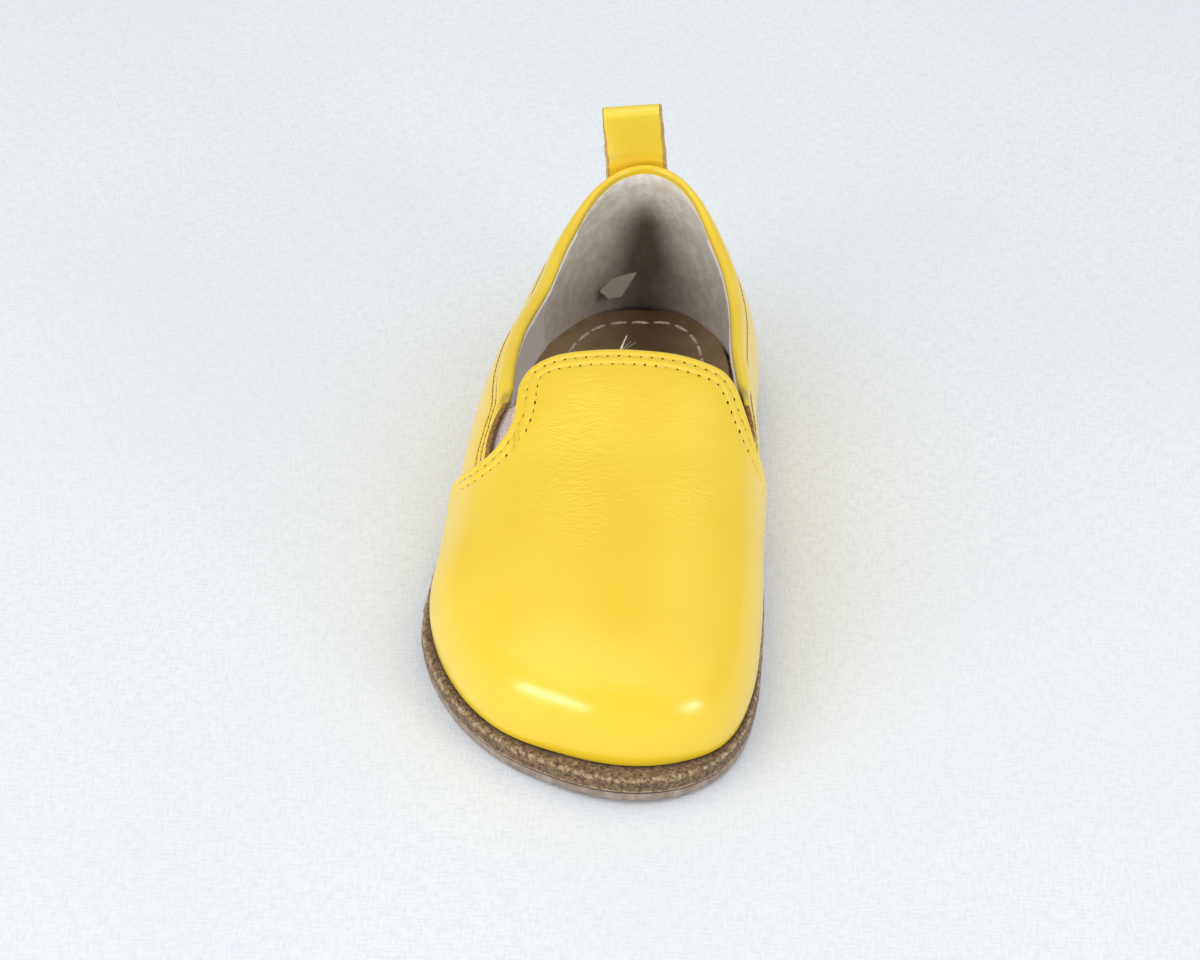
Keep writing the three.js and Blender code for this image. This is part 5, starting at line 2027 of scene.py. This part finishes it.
class Shoe:
    """All the pieces of the shoe."""

    def __init__(self) -> None:
        """Sets up the last, the workshop and the finishes that several pieces share."""
        self.last = Last(LastSizes())
        self.workshop = Workshop(self.last)
        self.leather = SmoothLeather().material()
        self.suede = Suede().material()
        self.pale_thread = PALE_THREAD.material()
        self.thread = YELLOW_THREAD.material()
        self.dark_thread = OCHRE_THREAD.material()
        self.hole = NEEDLE_HOLE_SHADE.material()

    def upper(self) -> None:
        """Vamp, quarters and their linings."""
        vamp = Vamp(self.last, VampSizes())
        wall = vamp.wall()
        self.workshop.piece("vamp", wall, self.leather, Slot.UPPER)
        self.workshop.piece("vamp_lining", vamp.lining(), self.suede, Slot.INSOLE)
        for number, path in enumerate(vamp.seam_paths, 1):
            self.seam(f"vamp_seam_{number}", path, wall, StitchSizes(), self.thread)
        quarters = Quarters(self.last, QuarterSizes())
        wall = quarters.wall()
        self.workshop.piece("quarters", wall, self.leather, Slot.UPPER, ("upper",))
        self.workshop.piece("quarter_lining", quarters.lining(), self.suede, Slot.INSOLE)
        for side in Side:
            for number, row in enumerate(quarters.sizes.side(side).seam_rows, 1):
                name = f"collar_seam_{side.name.lower()}_{number}"
                self.seam(name, quarters.collar_path(row, side.value), wall, COLLAR_STITCH, self.dark_thread)
        self.workshop.piece("loose_thread", LooseThread().fibres(), self.pale_thread, Slot.UPPER)

    def seam(
        self, name: str, path: Path, surface: Sheet, sizes: StitchSizes, thread: bpy.types.Material
    ) -> None:
        """A row of stitches with its needle holes, laid on a surface."""
        row = Seam(*snapped(path.evenly(PATH_STEP), surface, 0.02), sizes)
        self.workshop.piece(name, row.stitches(), thread, Slot.UPPER)
        self.workshop.piece(f"{name}_holes", row.holes(), self.hole, Slot.UPPER)

    def gores(self) -> None:
        """The two elastic gores."""
        knit = KNIT.material()
        for sizes in GORES:
            wall = Gore(self.last, sizes).wall()
            self.workshop.piece(f"{sizes.name}_knit", wall, knit, Slot.ELASTIC, (sizes.name,))

    def sole(self) -> None:
        """Outsole, midsole, insole and the insole's stitches."""
        sole = Sole(self.last, SoleSizes())
        insole = sole.insole()
        for name, sheet, finish, slot, node in (
            ("outsole_rubber", sole.outsole(), RUBBER, Slot.RUBBER, "outsole"),
            ("midsole_leather", sole.midsole(), NappedSole(), Slot.SOLE, "midsole"),
            ("insole_leather", insole, InsoleLeather(), Slot.INSOLE, "insole"),
        ):
            self.workshop.piece(name, sheet, finish.material(), slot, (node,))
        row = Seam(*snapped(sole.insole_seam(), insole, 0.0), INSOLE_STITCH)
        self.workshop.piece("insole_seam", row.stitches(), self.pale_thread, Slot.INSOLE)

    def pull_tab(self) -> None:
        """The heel's pull tab."""
        tab = PullTab(self.last, TabSizes())
        wall = tab.wall()
        self.workshop.piece("pull_tab_strip", wall, TAB_LEATHER.material(), Slot.UPPER, ("pull_tab",))
        self.seam("pull_tab_seam", tab.seam_path(), wall, TAB_STITCH, self.thread)

    def build(self) -> None:
        """Builds every piece."""
        self.upper()
        self.gores()
        self.sole()
        self.pull_tab()
        log.info("%d triangles in all", self.workshop.count)


def main() -> None:
    """Builds the shoe and its studio."""
    logging.basicConfig(level=logging.INFO, format="%(message)s")
    Shoe().build()
    Studio().build()


if __name__ == "__main__":
    main()
